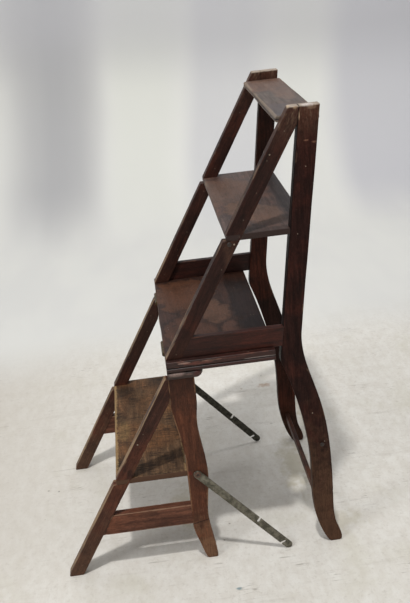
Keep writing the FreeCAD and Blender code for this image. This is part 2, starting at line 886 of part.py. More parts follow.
def stud(name, side, reach, height, radius, headRadius):
    outer = size["stayGap"] * 2 + size["stayThickness"]
    into = size["headThickness"] / 4
    if side == "right":
        shank = rod(name + "_shank", halfWidth - size["studSink"], reach, height, radius,
                    size["studSink"] + outer + into)
        head = rod(name + "_head", halfWidth + outer, reach, height, headRadius,
                   size["headThickness"])
    else:
        shank = rod(name + "_shank", -halfWidth - outer - into, reach, height, radius,
                    size["studSink"] + outer + into)
        head = rod(name + "_head", -halfWidth - outer - size["headThickness"], reach, height,
                   headRadius, size["headThickness"])
    whole = fused(name + "_whole", [shank, head])
    doc.recompute()
    outside = (halfWidth + outer + size["headThickness"]).value
    slope = size["headBevel"].value
    rims = [
        (number, slope, slope)
        for number, edge in enumerate(whole.Shape.Edges, start=1)
        if near(abs(edge.BoundBox.XMin), outside) and near(abs(edge.BoundBox.XMax), outside)
    ]
    bevelled = doc.addObject("Part::Chamfer", name)
    bevelled.Base = whole
    bevelled.Edges = rims
    bevelled.Label = name
    return bevelled


pivotScrews = []
postStuds = []
stringerStuds = []
for side, start, outward in sides():
    pivotScrews.append(stud("pivot_screw_" + side, side, size["pivotReach"], size["pivotHeight"],
                            size["pivotRadius"], size["pivotHead"]))
    postStuds.append(stud("post_stud_" + side, side, studReach, size["studHeight"],
                          size["studRadius"], size["studHead"]))
    stringerStuds.append(stud("stringer_stud_" + side, side, chairStudReach,
                              size["chairStudHeight"], size["studRadius"], size["studHead"]))
nodes.append(("stay_pivot_screws", gathered("stay_pivot_screws", pivotScrews)))
nodes.append(("post_studs", gathered("post_studs", postStuds)))
nodes.append(("stringer_studs", gathered("stringer_studs", stringerStuds)))

# Stays: flat bars with two hooked notches, leaning on the floor

stayDrop = math.degrees(math.asin(
    (size["pivotHeight"].value - size["stayWidth"].value / 2 - size["floorGap"].value)
    / size["stayLength"].value
))
dropText = "asin((Sizes.pivotHeight - Sizes.stayWidth / 2 - Sizes.floorGap) / Sizes.stayLength)"


# A notch's round end is drawn a hair flatter than a half circle
roundEnd = 1.001


def stay(name, x):
    # Drawn level, with the pivot at zero, then turned down about the pivot
    body = newBody(name)
    sketch = newSketch(body, name + "_outline", "YZ_Plane")
    half = size["stayWidth"] / 2
    end = size["stayLength"]
    drawOutline(
        sketch,
        [
            (asSize(0), -half), (end, -half), (end + half, asSize(0)), (end, half),
            (asSize(0), half), (-half, asSize(0)),
        ],
        {1: (half, 1), 2: (half, 1), 4: (half, 1), 5: (half, 1)},
    )
    addPad(body, sketch, name + "_bar", size["stayThickness"])
    hole = newSketch(body, name + "_hole_outline", "YZ_Plane")
    around = size["pivotRadius"] + size["runningFit"]
    circle = hole.addGeometry(
        Part.Circle(Vector(0, 0, 0), Vector(0, 0, 1), around.value), False
    )
    hole.addConstraint(Sketcher.Constraint("Coincident", circle, 3, -1, 1))
    rule = hole.addConstraint(Sketcher.Constraint("Radius", circle, around.value))
    bind(hole, "Constraints[%d]" % rule, around)
    addPocket(body, hole, name + "_hole", size["stayThickness"], True)
    tip = None
    for label, radius, up in (("hook", size["hookRadius"], -1),
                              ("chair_hook", size["chairHookRadius"], 1)):
        notch = newSketch(body, "%s_%s_outline" % (name, label), "YZ_Plane")
        halfNotch = size["notchWidth"] / 2
        mouth = (half + size["stayThickness"]) * up
        shift = size["notchLean"]
        corners = [
            (radius - halfNotch - shift, mouth),
            (radius - halfNotch, asSize(0)),
            (radius + halfNotch, asSize(0)),
            (radius + halfNotch - shift, mouth),
        ]
        drawOutline(notch, corners, {1: (halfNotch * roundEnd, up)})
        tip = addPocket(body, notch, "%s_%s" % (name, label), size["stayThickness"], True)
    body.Tip = tip
    turned = Rotation(Vector(-1, 0, 0), stayDrop)
    body.Placement = Placement(
        Vector(x.value, (foldPlace + size["pivotReach"]).value, size["pivotHeight"].value), turned
    )
    bind(body, ".Placement.Base.x", x)
    bind(body, ".Placement.Base.y", foldPlace + size["pivotReach"])
    bind(body, ".Placement.Base.z", size["pivotHeight"])
    body.setExpression(".Placement.Rotation.Angle", dropText)
    return body


nodes.append(("stay_left", stay("stay_left", -halfWidth - size["stayGap"] - size["stayThickness"])))
nodes.append(("stay_right", stay("stay_right", halfWidth + size["stayGap"])))

# Check every object, then write each sub-part to its own file

doc.recompute()
for thing in doc.Objects:
    if "Invalid" in thing.State or "Error" in thing.State:
        raise RuntimeError("failed: %s %s" % (thing.Name, thing.State))
for name, thing in nodes:
    shape = thing.Shape
    if shape.isNull() or not shape.isValid() or not shape.Solids:
        raise RuntimeError("bad shape: " + name)
    thing.Label = name
    shape.exportStep("parts/%s.step" % name)
    room = shape.BoundBox
    print("%-26s solids %d volume %9.0f  y %7.1f %7.1f  z %6.1f %6.1f" % (
        name, len(shape.Solids), shape.Volume, room.YMin, room.YMax, room.ZMin, room.ZMax
    ))
print("fold at y", round(foldPlace.value, 3), "stay drop", round(stayDrop, 3))
print("studs", round(studReach.value, 2), round(chairStudReach.value, 2))
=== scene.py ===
import bpy
import json
import math
import numpy as np
from mathutils import Matrix


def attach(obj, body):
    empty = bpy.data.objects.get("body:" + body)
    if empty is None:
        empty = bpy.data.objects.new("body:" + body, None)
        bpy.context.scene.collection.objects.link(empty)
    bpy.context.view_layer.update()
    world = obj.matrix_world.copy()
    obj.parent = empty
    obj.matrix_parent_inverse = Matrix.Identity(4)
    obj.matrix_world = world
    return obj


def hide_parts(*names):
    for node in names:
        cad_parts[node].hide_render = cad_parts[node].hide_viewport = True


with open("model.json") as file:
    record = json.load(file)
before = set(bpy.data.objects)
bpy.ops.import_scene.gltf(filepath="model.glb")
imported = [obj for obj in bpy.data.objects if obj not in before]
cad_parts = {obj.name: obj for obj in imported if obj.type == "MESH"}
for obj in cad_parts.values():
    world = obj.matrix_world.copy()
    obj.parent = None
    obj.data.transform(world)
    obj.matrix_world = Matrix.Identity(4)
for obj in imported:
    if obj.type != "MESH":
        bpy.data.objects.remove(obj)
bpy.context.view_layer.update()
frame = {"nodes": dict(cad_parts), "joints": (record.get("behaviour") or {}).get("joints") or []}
print("stage: frame loaded")

# Folding library chair, turned over into steps. Lengths are millimetres: x across,
# y from the fold line towards the back, z up from the floor.
foldJoint = {joint["name"]: joint for joint in frame["joints"]}["seat_fold"]
foldPlace = foldJoint["pos_m"][1]

layout = {
    "fold": 450.0, "fullHeight": 900.0, "halfWidth": 200.0, "board": 20.0,
    "lean": 0.574, "stringerWidth": 31.0, "meetGap": 3.0,
    "boardFront": 0.4, "boardBottom": 450.15, "boardTop": 463.15,
    "stripTop": 449.85, "stripBottom": 422.85,
    "lowerTread": 217.0, "middleTread": 690.0, "topTread": 883.0, "treadThickness": 11.0,
    "housingLeft": 5.0, "seatHalf": 212.0, "hingeSpread": 122.0,
}
sideNames = (("left", -1.0), ("right", 1.0))
outerX = layout["halfWidth"]
innerX = outerX - layout["board"]


def upperFront(z):
    # Front of an upper stringer: a line through the seat board's front corner
    return layout["lean"] * (z - layout["boardTop"]) + layout["boardFront"]


def upperBack(z):
    # Its back, a stringer's width further along
    return upperFront(z) + layout["stringerWidth"]


def lowerFront(z):
    # The same line folded over, set back by the meeting gap
    folded = z + layout["boardTop"] - layout["fullHeight"]
    return layout["lean"] * folded - layout["boardFront"] + layout["meetGap"]


def lowerBack(z):
    return lowerFront(z) + layout["stringerWidth"]


# Surfaces: arrays of points made into meshes


def metres(points):
    # Millimetres from the fold line to metres in the shared frame
    placed = np.array(points, float) * 0.001
    placed[..., 1] += foldPlace
    return placed


def unevenness(points, seed, waves=6, shortest=28.0, longest=150.0):
    # Sum of sine waves in random directions, mostly between -1 and 1
    rng = np.random.default_rng(seed)
    ways = rng.normal(size=(waves, 3))
    ways /= np.linalg.norm(ways, axis=1, keepdims=True)
    lengths = rng.uniform(shortest, longest, waves)
    phases = rng.uniform(0, 2 * math.pi, waves)
    turns = points @ (ways.T * 2 * math.pi / lengths)
    return np.sin(turns + phases).sum(-1) / math.sqrt(waves)


farFromArris = 9.0  # mm, past the reach of the arris mark (wear and painted highlight)


def closedSurface(name, lattice, arris=None, face=None, hollow=None, sharpAngle=32.0):
    # Rows of closed rings joined by quads, with the first and last ring filled in. Three values
    # go with each point: distance from an arris, share of a worn face, share of a hollow painted
    # dark as shade
    rows, ring = lattice.shape[:2]
    index = np.arange(rows * ring).reshape(rows, ring)
    after = np.roll(index, -1, axis=1)
    quads = np.stack([index[:-1], after[:-1], after[1:], index[1:]], axis=-1).reshape(-1, 4)
    caps = np.stack([index[0][::-1], index[-1]])
    points = metres(lattice.reshape(-1, 3))
    fans = np.stack([
        np.repeat(caps[:, :1], ring - 2, axis=1), caps[:, 1:-1], caps[:, 2:],
    ], axis=-1).reshape(-1, 3)
    corners = np.concatenate([quads[:, [0, 1, 2]], quads[:, [0, 2, 3]], fans])
    a, b, c = (points[corners[:, k]] - points[0] for k in range(3))
    if np.einsum("ij,ij->i", a, np.cross(b, c)).sum() < 0:  # a volume below 0 is inside out
        quads, caps = quads[:, ::-1], caps[:, ::-1]
    mesh = bpy.data.meshes.new(name)
    mesh.from_pydata(points.tolist(), [], quads.tolist() + caps.tolist())
    mesh.polygons.foreach_set("use_smooth", np.ones(len(mesh.polygons), bool))
    mesh.set_sharp_from_angle(angle=math.radians(sharpAngle))
    for label, values, usual in (("arris", arris, farFromArris), ("face", face, 0.0),
                                 ("hollow", hollow, 0.0)):
        flat = np.full(rows * ring, usual) if values is None else values.reshape(-1)
        spot = mesh.attributes.new(label, "FLOAT", "POINT")
        spot.data.foreach_set("value", flat.astype(np.float32))
    mesh.update()
    return linked(name, mesh)


def linked(name, data):
    # A new object in the scene
    holder = bpy.data.objects.new(name, data)
    bpy.context.scene.collection.objects.link(holder)
    return holder


# A board's ring of points: four corners, each with the flat that follows it

cornerTurns = np.linspace(0.0, math.pi / 2, 4)
ringBlock = 9  # points of one corner and the flat after it
flatMiddle = 6  # the middle point of that flat
flatPoints = ((1.5, 0.12), (5.0, 0.3))  # mm from the flat's ends, and its share at most
leastRadius, mostShare = 0.12, 0.48


def boardRings(origin, across, through, radii, inset):
    # Rounded rectangles: four quarter circles with five points along each flat between them.
    # Also gives each point's outward direction and its distance from the nearest arris.
    wide = np.linalg.norm(across, axis=1, keepdims=True)
    deep = np.linalg.norm(through, axis=1, keepdims=True)
    a, b = across / wide, through / deep
    inset = inset[:, None]
    start = origin + (a + b) * inset
    wide, deep = wide - 2 * inset, deep - 2 * inset
    radii = np.clip(radii - inset, leastRadius, mostShare * np.minimum(wide, deep))
    centreA = np.concatenate([radii[:, :1], wide - radii[:, 1:3], radii[:, 3:]], axis=1)
    centreB = np.concatenate([radii[:, :2], deep - radii[:, 2:]], axis=1)
    begins = (math.pi, 1.5 * math.pi, 0.0, 0.5 * math.pi)
    sides = ((0, -1), (1, 0), (0, 1), (-1, 0))
    arcs = []
    for corner in range(4):
        turn = begins[corner] + cornerTurns[None, :]
        radius = radii[:, corner:corner + 1]
        arcs.append((centreA[:, corner:corner + 1] + radius * np.cos(turn),
                     centreB[:, corner:corner + 1] + radius * np.sin(turn),
                     np.cos(turn) + 0 * wide, np.sin(turn) + 0 * wide))
    placesA, placesB, waysA, waysB, gaps = [], [], [], [], []
    for corner in range(4):
        arcA, arcB, wayA, wayB = arcs[corner]
        nextA, nextB = arcs[(corner + 1) % 4][:2]
        startA, startB, endA, endB = arcA[:, -1:], arcB[:, -1:], nextA[:, :1], nextB[:, :1]
        flat = np.hypot(endA - startA, endB - startB)
        close, apart = (np.minimum(reach, share * flat) for reach, share in flatPoints)
        along = np.concatenate([close, apart, flat / 2, flat - apart, flat - close], axis=1)
        share = along / flat
        placesA += [arcA, startA + (endA - startA) * share]
        placesB += [arcB, startB + (endB - startB) * share]
        waysA += [wayA, np.full_like(share, sides[corner][0])]
        waysB += [wayB, np.full_like(share, sides[corner][1])]
        gaps += [np.zeros_like(wayA), np.minimum(along, flat - along)]
    placeA, placeB, wayA, wayB = (np.concatenate(rows, 1)[..., None]
                                  for rows in (placesA, placesB, waysA, waysB))
    points = start[:, None] + a[:, None] * placeA + b[:, None] * placeB
    outward = a[:, None] * wayA + b[:, None] * wayB
    return points, outward, np.concatenate(gaps, 1)


# How every board is worked
endStations = np.array([0.0, 0.07, 0.3, 0.62, 1.0, 1.7, 4.0])  # times the end's rounding
chipStations = np.linspace(-1.6, 1.6, 7)  # times a chip's half width, from its middle
chipPlaces = (0.04, 0.96)  # shares of the board's length
chipWidths = (2.5, 7.0)  # mm
chipBites = (0.4, 1.0)  # shares of the board's deepest chip
arrisSwing = 0.28  # share by which an arris's radius wanders
arrisWaves = (18, 60)  # mm for each radian of that wandering
inwards = 0.8  # times the roughness, so that hardly a point stands proud
kinkWidth, kinkClear = 1e-6, 2e-4  # shares of the board's length


def boardStations(fine, run, ends, spacing, chipPlace, chipWidth, kinks, bends):
    # Shares of the board's length: close together in both ends and across each chip, even
    # between them, at each bend, and on both sides of each kink
    total = run[-1]
    nearEnd = ends * endStations
    even = np.linspace(0.0, total, max(6, int(total / spacing)))
    even = even[(even > 6 * ends) & (even < total - 6 * ends)]
    nearChip = (chipPlace[:, None] + chipWidth[:, None] * chipStations[None, :]).ravel()
    nearChip = nearChip[(nearChip > 3 * ends) & (nearChip < total - 3 * ends)]
    wanted = np.unique(np.concatenate([nearEnd, total - nearEnd, even, nearChip]))
    steps = np.concatenate([np.interp(wanted, run, fine), bends])
    for kink in kinks:
        clear = steps[np.abs(steps - kink) > kinkClear]
        steps = np.concatenate([clear, [kink - kinkWidth, kink + kinkWidth]])
    return np.unique(steps)


def board(name, path, seed, arris=1.1, radii=None, ends=1.1, rough=0.08, chips=5, chipDepth=1.0,
          spacing=12.0, kinks=(), bends=(), wornSide=None, groove=None):
    # A length of wood: path(t) gives the rectangle's corner and its two sides at t from 0 to 1.
    # In both ends the rectangle shrinks along a quarter circle. wornSide picks the flat that
    # wears, and groove=(flat, depth) presses in a flat's middle.
    fine = np.linspace(0.0, 1.0, 800)
    origin, across, through = path(fine)
    middle = origin + (across + through) / 2
    run = np.concatenate([[0.0], np.cumsum(np.linalg.norm(np.diff(middle, axis=0), axis=1))])
    total = run[-1]
    rng = np.random.default_rng(seed)
    chipPlace = rng.uniform(*chipPlaces, chips) * total
    chipWidth = rng.uniform(*chipWidths, chips)
    chipCorner = rng.integers(0, 4, chips)
    steps = boardStations(fine, run, ends, spacing, chipPlace, chipWidth, kinks, bends)
    travelled = np.interp(steps, fine, run)
    fromEnd = np.minimum(travelled, total - travelled)
    inset = ends - np.sqrt(np.maximum(ends**2 - np.maximum(ends - fromEnd, 0.0)**2, 0.0))
    base = np.full(4, arris) if radii is None else np.array(radii, float)
    swing = np.sin(travelled[:, None] / rng.uniform(*arrisWaves, 4) + rng.uniform(0, 6.3, 4))
    radiiHere = base * (1.0 + arrisSwing * swing)
    bites = np.exp(-((travelled[:, None] - chipPlace) / chipWidth)**2)
    bites *= rng.uniform(*chipBites, chips)
    for corner in range(4):
        radiiHere[:, corner] += chipDepth * bites[:, chipCorner == corner].sum(1)
    points, outward, gap = boardRings(*path(steps), radiiHere, inset)
    points = points + outward * (unevenness(points, seed + 100)[..., None] - inwards) * rough
    gap = np.minimum(gap, fromEnd[:, None] + 0.4)
    face, hollow = 0 * gap, 0 * gap
    if wornSide is not None:
        first = ringBlock * wornSide
        face[:, first + 2:first + ringBlock] = 1.0
        face[:, (first + ringBlock + np.arange(2)) % (4 * ringBlock)] = 1.0
    if groove is not None:
        flat, depth = groove
        middle = ringBlock * flat + flatMiddle
        beside = [middle - 1, middle + 1]
        points[:, middle] -= outward[:, middle] * depth
        points[:, beside] -= outward[:, beside] * depth * 0.5
        # The groove is marked as hollow, which the materials paint dark as shade
        hollow[:, middle], hollow[:, beside] = 1.0, 0.7
        gap[:, middle] = farFromArris
    return closedSurface(name, points, gap, face, hollow)


dimpleDepth, dimpleEdge = 0.9, 1.6  # mm, and times the dimple's radius


def lathe(name, centre, profile, segments=40, side=1.0, dimple=0.0):
    # Profile of (radius, height) turned about the x axis, with the outer face's middle sunk
    # within the dimple's radius
    radius, height = np.array(profile, float).T
    sunk = 0 * radius
    if dimple:
        sunk = np.clip(dimpleEdge - radius / dimple, 0.0, 1.0) * (height > 0.5)
    height = height - dimpleDepth * sunk
    turn = np.linspace(0.0, 2 * math.pi, segments, endpoint=False)
    y = radius[:, None] * np.cos(turn)
    z = radius[:, None] * np.sin(turn)
    x = height[:, None] + 0 * y
    lattice = np.stack([centre[0] + side * x, centre[1] + y, centre[2] + z], axis=-1)
    # The sunk middle is marked as hollow, painted dark as shade
    return closedSurface(name, lattice, hollow=sunk[:, None] + 0 * x, sharpAngle=40.0)


def smoothLine(places, firstWay, lastWay):
    # Cubic spline through the places, run by chord length, with a set direction at each end
    points = np.array(places, float)
    chord = np.linalg.norm(np.diff(points, axis=0), axis=1)
    knots = np.concatenate([[0.0], np.cumsum(chord)])
    count = len(points)
    ways = [np.array(way, float) / np.linalg.norm(way) for way in (firstWay, lastWay)]
    system = np.zeros((count, count))
    right = np.zeros((count, 2))
    system[0, 0] = system[-1, -1] = 1.0
    right[0], right[-1] = ways
    for k in range(1, count - 1):
        before, following = chord[k - 1], chord[k]
        system[k, k - 1:k + 2] = following, 2 * (before + following), before
        right[k] = 3 * (following * (points[k] - points[k - 1]) / before
                        + before * (points[k + 1] - points[k]) / following)
    slopes = np.linalg.solve(system, right)
    run = np.linspace(0.0, knots[-1], 500)
    span = np.clip(np.searchsorted(knots, run, side="right") - 1, 0, count - 2)
    length = chord[span][:, None]
    u = (run - knots[span])[:, None] / length
    return (points[span] * (2 * u**3 - 3 * u**2 + 1) + points[span + 1] * (3 * u**2 - 2 * u**3)
            + slopes[span] * length * (u**3 - 2 * u**2 + u)
            + slopes[span + 1] * length * (u**3 - u**2))


def heightCurve(line):
    # y as a function of z, from points along the line
    ordered = line[np.argsort(line[:, 1], kind="stable")]
    return lambda z: np.interp(z, ordered[:, 1], ordered[:, 0])


def wornToe(line, height, depth):
    # A line whose corner at the floor is worn round along a quarter of an ellipse
    def worn(z):
        drop = np.clip(1.0 - z / height, 0.0, 1.0)
        return line(z) + depth * (1.0 - np.sqrt(1.0 - drop**2))
    return worn


toeHeights = np.array([0.6, 1.4, 2.4, 3.6, 5.0, 6.6, 8.6, 11.0, 14.0, 17.5, 21.0])


def toeBends(total):
    # Stations close together up a worn toe
    return toeHeights / total


# Paths for the three ways that a board runs in this chair


def uprightPath(low, high, front, back, near, far):
    # Level slices from z low to high, y from front(z) to back(z), x from near to far
    def path(t):
        z = low + (high - low) * t
        zero = 0.0 * t
        fore, aft = front(z) + zero, back(z) + zero
        return (np.stack([zero + near, fore, z], -1), np.stack([zero, aft - fore, zero], -1),
                np.stack([zero + far - near, zero, zero], -1))
    return path


def levelPath(bottomLine, topLine, low, high, near, far):
    # Upright slices of a board that runs level from front to back, with slanting ends
    def path(t):
        zero = 0.0 * t
        under = bottomLine[0] + (bottomLine[1] - bottomLine[0]) * t
        over = topLine[0] + (topLine[1] - topLine[0]) * t
        return (np.stack([zero + near, under, zero + low], -1),
                np.stack([zero, over - under, zero + high - low], -1),
                np.stack([zero + far - near, zero, zero], -1))
    return path


def crossPath(left, right, front, back, low, high):
    # Upright slices of a board across the chair, y from back(x) to front(x)
    def path(t):
        x = left + (right - left) * t
        zero = 0.0 * t
        fore, aft = front(x) + zero, back(x) + zero
        return (np.stack([x, aft, zero + low], -1), np.stack([zero, fore - aft, zero], -1),
                np.stack([zero, zero, zero + high - low], -1))
    return path


# Materials. A colour of three numbers is a screen value from 0 to 255


def tint(red, green, blue):
    # Screen values to a linear colour
    screen = np.array([red, green, blue]) / 255.0
    linear = np.where(screen <= 0.04045, screen / 12.92, ((screen + 0.055) / 1.055)**2.4)
    return (float(linear[0]), float(linear[1]), float(linear[2]), 1.0)


def isSocket(value):
    # Whether a value comes from another node
    return isinstance(value, bpy.types.NodeSocket)


class Wiring:
    # Adds nodes to one tree: a value that is a socket gets a link, any other is set
    def __init__(self, tree):
        self.tree = tree

    def node(self, kind, inputs=None, **settings):
        made = self.tree.nodes.new(kind)
        for key, value in settings.items():
            setattr(made, key, value)
        for key, value in (inputs or {}).items():
            if isSocket(value):
                self.tree.links.new(value, made.inputs[key])
            else:
                made.inputs[key].default_value = value
        return made

    def calc(self, operation, first, second=0.0, clamp=False):
        made = self.node("ShaderNodeMath", {0: first, 1: second}, operation=operation)
        made.use_clamp = clamp
        return made.outputs[0]

    def plus(self, first, second, clamp=False):
        return self.calc("ADD", first, second, clamp)

    def minus(self, first, second, clamp=False):
        return self.calc("SUBTRACT", first, second, clamp)

    def times(self, first, second, clamp=False):
        return self.calc("MULTIPLY", first, second, clamp)

    def absolute(self, value):
        return self.calc("ABSOLUTE", value)

    def vector(self, operation, first, second):
        made = self.node("ShaderNodeVectorMath", {0: first, 1: second}, operation=operation)
        return made.outputs["Value" if operation in ("LENGTH", "DOT_PRODUCT") else 0]

    def place(self, vector, location=(0, 0, 0), rotation=(0, 0, 0), scale=(1, 1, 1)):
        return self.node("ShaderNodeMapping", {
            "Vector": vector, "Location": location, "Rotation": rotation, "Scale": scale,
        }).outputs[0]

    def parts(self, vector):
        return self.node("ShaderNodeSeparateXYZ", {0: vector}).outputs

    def noise(self, vector, scale, detail=3.0, roughness=0.5, distortion=0.0):
        return self.node("ShaderNodeTexNoise", {
            "Vector": vector, "Scale": scale, "Detail": detail, "Roughness": roughness,
            "Distortion": distortion,
        }).outputs[0]

    def centred(self, *noiseValues):
        # The same noise, from about -0.2 to 0.2
        return self.minus(self.noise(*noiseValues), 0.5)

    def remap(self, value, low, high, toLow=0.0, toHigh=1.0, curve="SMOOTHSTEP"):
        return self.node("ShaderNodeMapRange", {
            "Value": value, "From Min": low, "From Max": high, "To Min": toLow, "To Max": toHigh,
        }, interpolation_type=curve).outputs[0]

    def mix(self, factor, first, second, blend="MIX"):
        first, second = (value if isSocket(value) or len(value) == 4 else tint(*value)
                         for value in (first, second))
        made = self.node("ShaderNodeMix", {0: factor, 6: first, 7: second},
                         data_type="RGBA", blend_type=blend)
        return made.outputs[2]

    def shade(self, colour, value, start, end, low, high):
        # Multiplies a colour by low to high as the value goes from start to end
        return self.mix(1.0, colour, self.remap(value, start, end, low, high, "LINEAR"), "MULTIPLY")

    def away(self, vector, centre, stretch):
        # Distance from a centre, with each axis stretched
        apart = self.vector("MULTIPLY", self.vector("SUBTRACT", vector, centre), stretch)
        return self.vector("LENGTH", apart, (0, 0, 0))

    def dots(self, vector, scale, chosen, distance):
        # A dot in some of the cells: where their value and the distance from their middle allow
        cells = self.node("ShaderNodeTexVoronoi", {"Vector": vector, "Scale": scale})
        value = self.node("ShaderNodeSeparateColor", {0: cells.outputs["Color"]}).outputs[0]
        return self.times(self.remap(cells.outputs["Distance"], *distance),
                          self.remap(value, *chosen))

    def group(self, tree, inputs):
        return self.node("ShaderNodeGroup", inputs, node_tree=tree).outputs

    def attribute(self, label):
        return self.node("ShaderNodeAttribute", attribute_name=label).outputs["Fac"]

    def bump(self, height, strength, distance):
        return self.node("ShaderNodeBump", {
            "Height": height, "Strength": strength, "Distance": distance,
        }).outputs[0]


def nodeGroup(name, inputs, outputs):
    # A node group with named sockets, for an effect that more than one material uses
    tree = bpy.data.node_groups.new(name, "ShaderNodeTree")
    for label, kind, value in inputs:
        socket = tree.interface.new_socket(name=label, in_out="INPUT", socket_type=kind)
        if value is not None:
            socket.default_value = value
    for label in outputs:
        tree.interface.new_socket(name=label, in_out="OUTPUT", socket_type="NodeSocketFloat")
    wiring = Wiring(tree)
    return tree, wiring, wiring.node("NodeGroupInput").outputs, wiring.node("NodeGroupOutput")


def finishGroup(wiring, leave, results):
    # Links each result to the output of its name
    for label, value in results.items():
        wiring.tree.links.new(value, leave.inputs[label])


def makeFigureGroup():
    # Wood grain that runs along the vector's x: broad figure with growth rings, fine fibre, and
    # dark pores
    tree, w, entry, leave = nodeGroup("woodFigure", [
        ("Vector", "NodeSocketVector", None), ("Fineness", "NodeSocketFloat", 1.0),
    ], ["Figure", "Fibre", "Pores"])
    scaled = w.node("ShaderNodeVectorMath", {0: entry["Vector"], 3: entry["Fineness"]},
                    operation="SCALE").outputs[0]
    broad = w.noise(w.place(scaled, scale=(0.07, 1.0, 1.0)), 62.0, 4.0, 0.55, 0.7)
    rings = w.node("ShaderNodeTexWave", {
        "Vector": w.place(scaled, (0.0, 0.031, 0.017), scale=(0.035, 1.0, 0.8)),
        "Scale": 34.0, "Distortion": 3.2, "Detail": 3.0, "Detail Scale": 1.3,
    }, wave_type="RINGS", rings_direction="X").outputs[1]
    fibre = w.noise(w.place(scaled, scale=(0.022, 1.0, 1.0)), 760.0, 3.0, 0.62, 0.2)
    dashes = w.noise(w.place(scaled, scale=(0.05, 1.0, 1.0)), 1350.0, 1.0, 0.5)
    finishGroup(w, leave, {
        "Figure": w.plus(w.times(broad, 0.9), w.times(rings, 0.1)), "Fibre": fibre,
        "Pores": w.remap(dashes, 0.6, 0.72),
    })
    return tree


def makeWearAndGlintGroup():
    # Worn arrises, which also stand for the light lines that arrises catch (painted highlights): 1
    # where the distance from the arris, shifted by noise, is under the reach
    tree, w, entry, leave = nodeGroup("wornArris", [
        ("Vector", "NodeSocketVector", None), ("Distance", "NodeSocketFloat", farFromArris),
        ("Reach", "NodeSocketFloat", 2.0), ("Cover", "NodeSocketFloat", 0.5),
    ], ["Worn"])
    ragged = w.centred(entry["Vector"], 170.0, 4.0, 0.65)
    shifted = w.plus(entry["Distance"], w.times(ragged, w.times(entry["Reach"], 3.0)))
    close = w.remap(shifted, entry["Reach"], 0.0)
    patches = w.noise(w.place(entry["Vector"], (3.1, 1.7, 0.4)), 19.0, 3.0, 0.6)
    low = w.minus(0.78, w.times(entry["Cover"], 0.6))
    here = w.remap(patches, low, w.plus(low, 0.16))
    finishGroup(w, leave, {"Worn": w.times(close, here)})
    return tree


def makeAgeGroup():
    # Marks of age: pale specks, fine scratches in two directions, soft blotches and grime
    tree, w, entry, leave = nodeGroup("ageMarks", [("Vector", "NodeSocketVector", None)],
                                      ["Specks", "Scratches", "Blotch", "Grime"])
    vector = entry["Vector"]
    one = w.place(vector, rotation=(0.4, 0.9, 0.5), scale=(0.03, 1, 1))
    other = w.place(vector, rotation=(1.9, 0.3, 2.2), scale=(0.04, 1, 1))
    scratches = w.calc("MAXIMUM", w.remap(w.noise(one, 900.0, 1.0), 0.7, 0.76),
                       w.remap(w.noise(other, 700.0, 1.0), 0.71, 0.77))
    finishGroup(w, leave, {
        "Specks": w.dots(vector, 95.0, (0.9, 0.92), (0.13, 0.07)), "Scratches": scratches,
        "Blotch": w.remap(w.noise(vector, 11.0, 4.0, 0.55, 0.6), 0.42, 0.66),
        "Grime": w.remap(w.noise(w.place(vector, (1.3, 0.2, 2.4)), 34.0, 5.0, 0.62), 0.45, 0.7),
    })
    return tree


figureGroup = makeFigureGroup()
wearAndGlintGroup = makeWearAndGlintGroup()
ageGroup = makeAgeGroup()


def newMaterial(name):
    # An empty material, and Object coordinates to lay its patterns on
    material = bpy.data.materials.new(name)
    material.use_nodes = True
    material.node_tree.nodes.clear()
    wiring = Wiring(material.node_tree)
    coordinates = wiring.node("ShaderNodeTexCoord").outputs["Object"]
    return material, wiring, coordinates


def closeMaterial(wiring, inputs):
    # The one shader that takes the colours, masks and normal
    shader = wiring.node("ShaderNodeBsdfPrincipled", inputs)
    end = wiring.node("ShaderNodeOutputMaterial")
    wiring.tree.links.new(shader.outputs[0], end.inputs[0])


# Wood: stain, painted zones and spots (some of them painted highlights and shade), grain, wear with
# painted arris highlights, then marks with painted shade in the hollows

grainTurns = {
    "across": (0.0, 0.0, 0.0),
    "upright": (0.0, math.pi / 2, 0.0),
    "slanting": (math.atan(layout["lean"]), math.pi / 2, 0.0),
    "level": (0.0, 0.0, -math.pi / 2),
}


def stainedWood(w, look, grain, figure, age):
    # Figure between two browns, warm blotches and darker handled patches, all dyed
    contrast = look["contrast"]
    colour = w.mix(w.remap(figure["Figure"], 0.5 - contrast, 0.5 + contrast),
                   look["deep"], look["main"])
    colour = w.mix(w.times(age["Blotch"], look["warmth"]), colour, look["warm"])
    patches = w.noise(w.place(grain, (2.7, 1.1, 0.6), scale=(0.12, 1.0, 1.0)), 130.0, 5.0, 0.7,
                      0.5)
    colour = w.shade(colour, patches, 0.3, 0.7, *look["handled"])
    return w.mix(1.0, colour, (*look["dye"], 1.0), "MULTIPLY")


def paintZones(w, look, colour, parts, ragged):
    # Bands of another colour, from their start to their end: up from the floor, or out from
    # the middle plane
    for way, start, end, strength, paint in look["zones"]:
        part = parts[2] if way == "up" else w.absolute(parts[0])
        wobble = w.times(ragged, abs(end - start) * 1.3)
        colour = w.mix(w.remap(w.plus(part, wobble), start, end, 0.0, strength), colour, paint)
    return colour


spotEdge = {  # shares of a spot's reach: where each edge fades from and to, and its raggedness
    "soft": (1.15, 0.35), "crisp": (1.02, 0.86), "rimOuter": (1.4, 1.02), "rimInner": (0.8, 1.0),
    "ragged": 1.6,
}


def acrossEdge(w, gap, reach, edge, most=1.0):
    # Goes from 0 to most as the distance from a spot's centre crosses one of its edges
    start, end = spotEdge[edge]
    return w.remap(gap, reach * start, reach * end, 0.0, most)


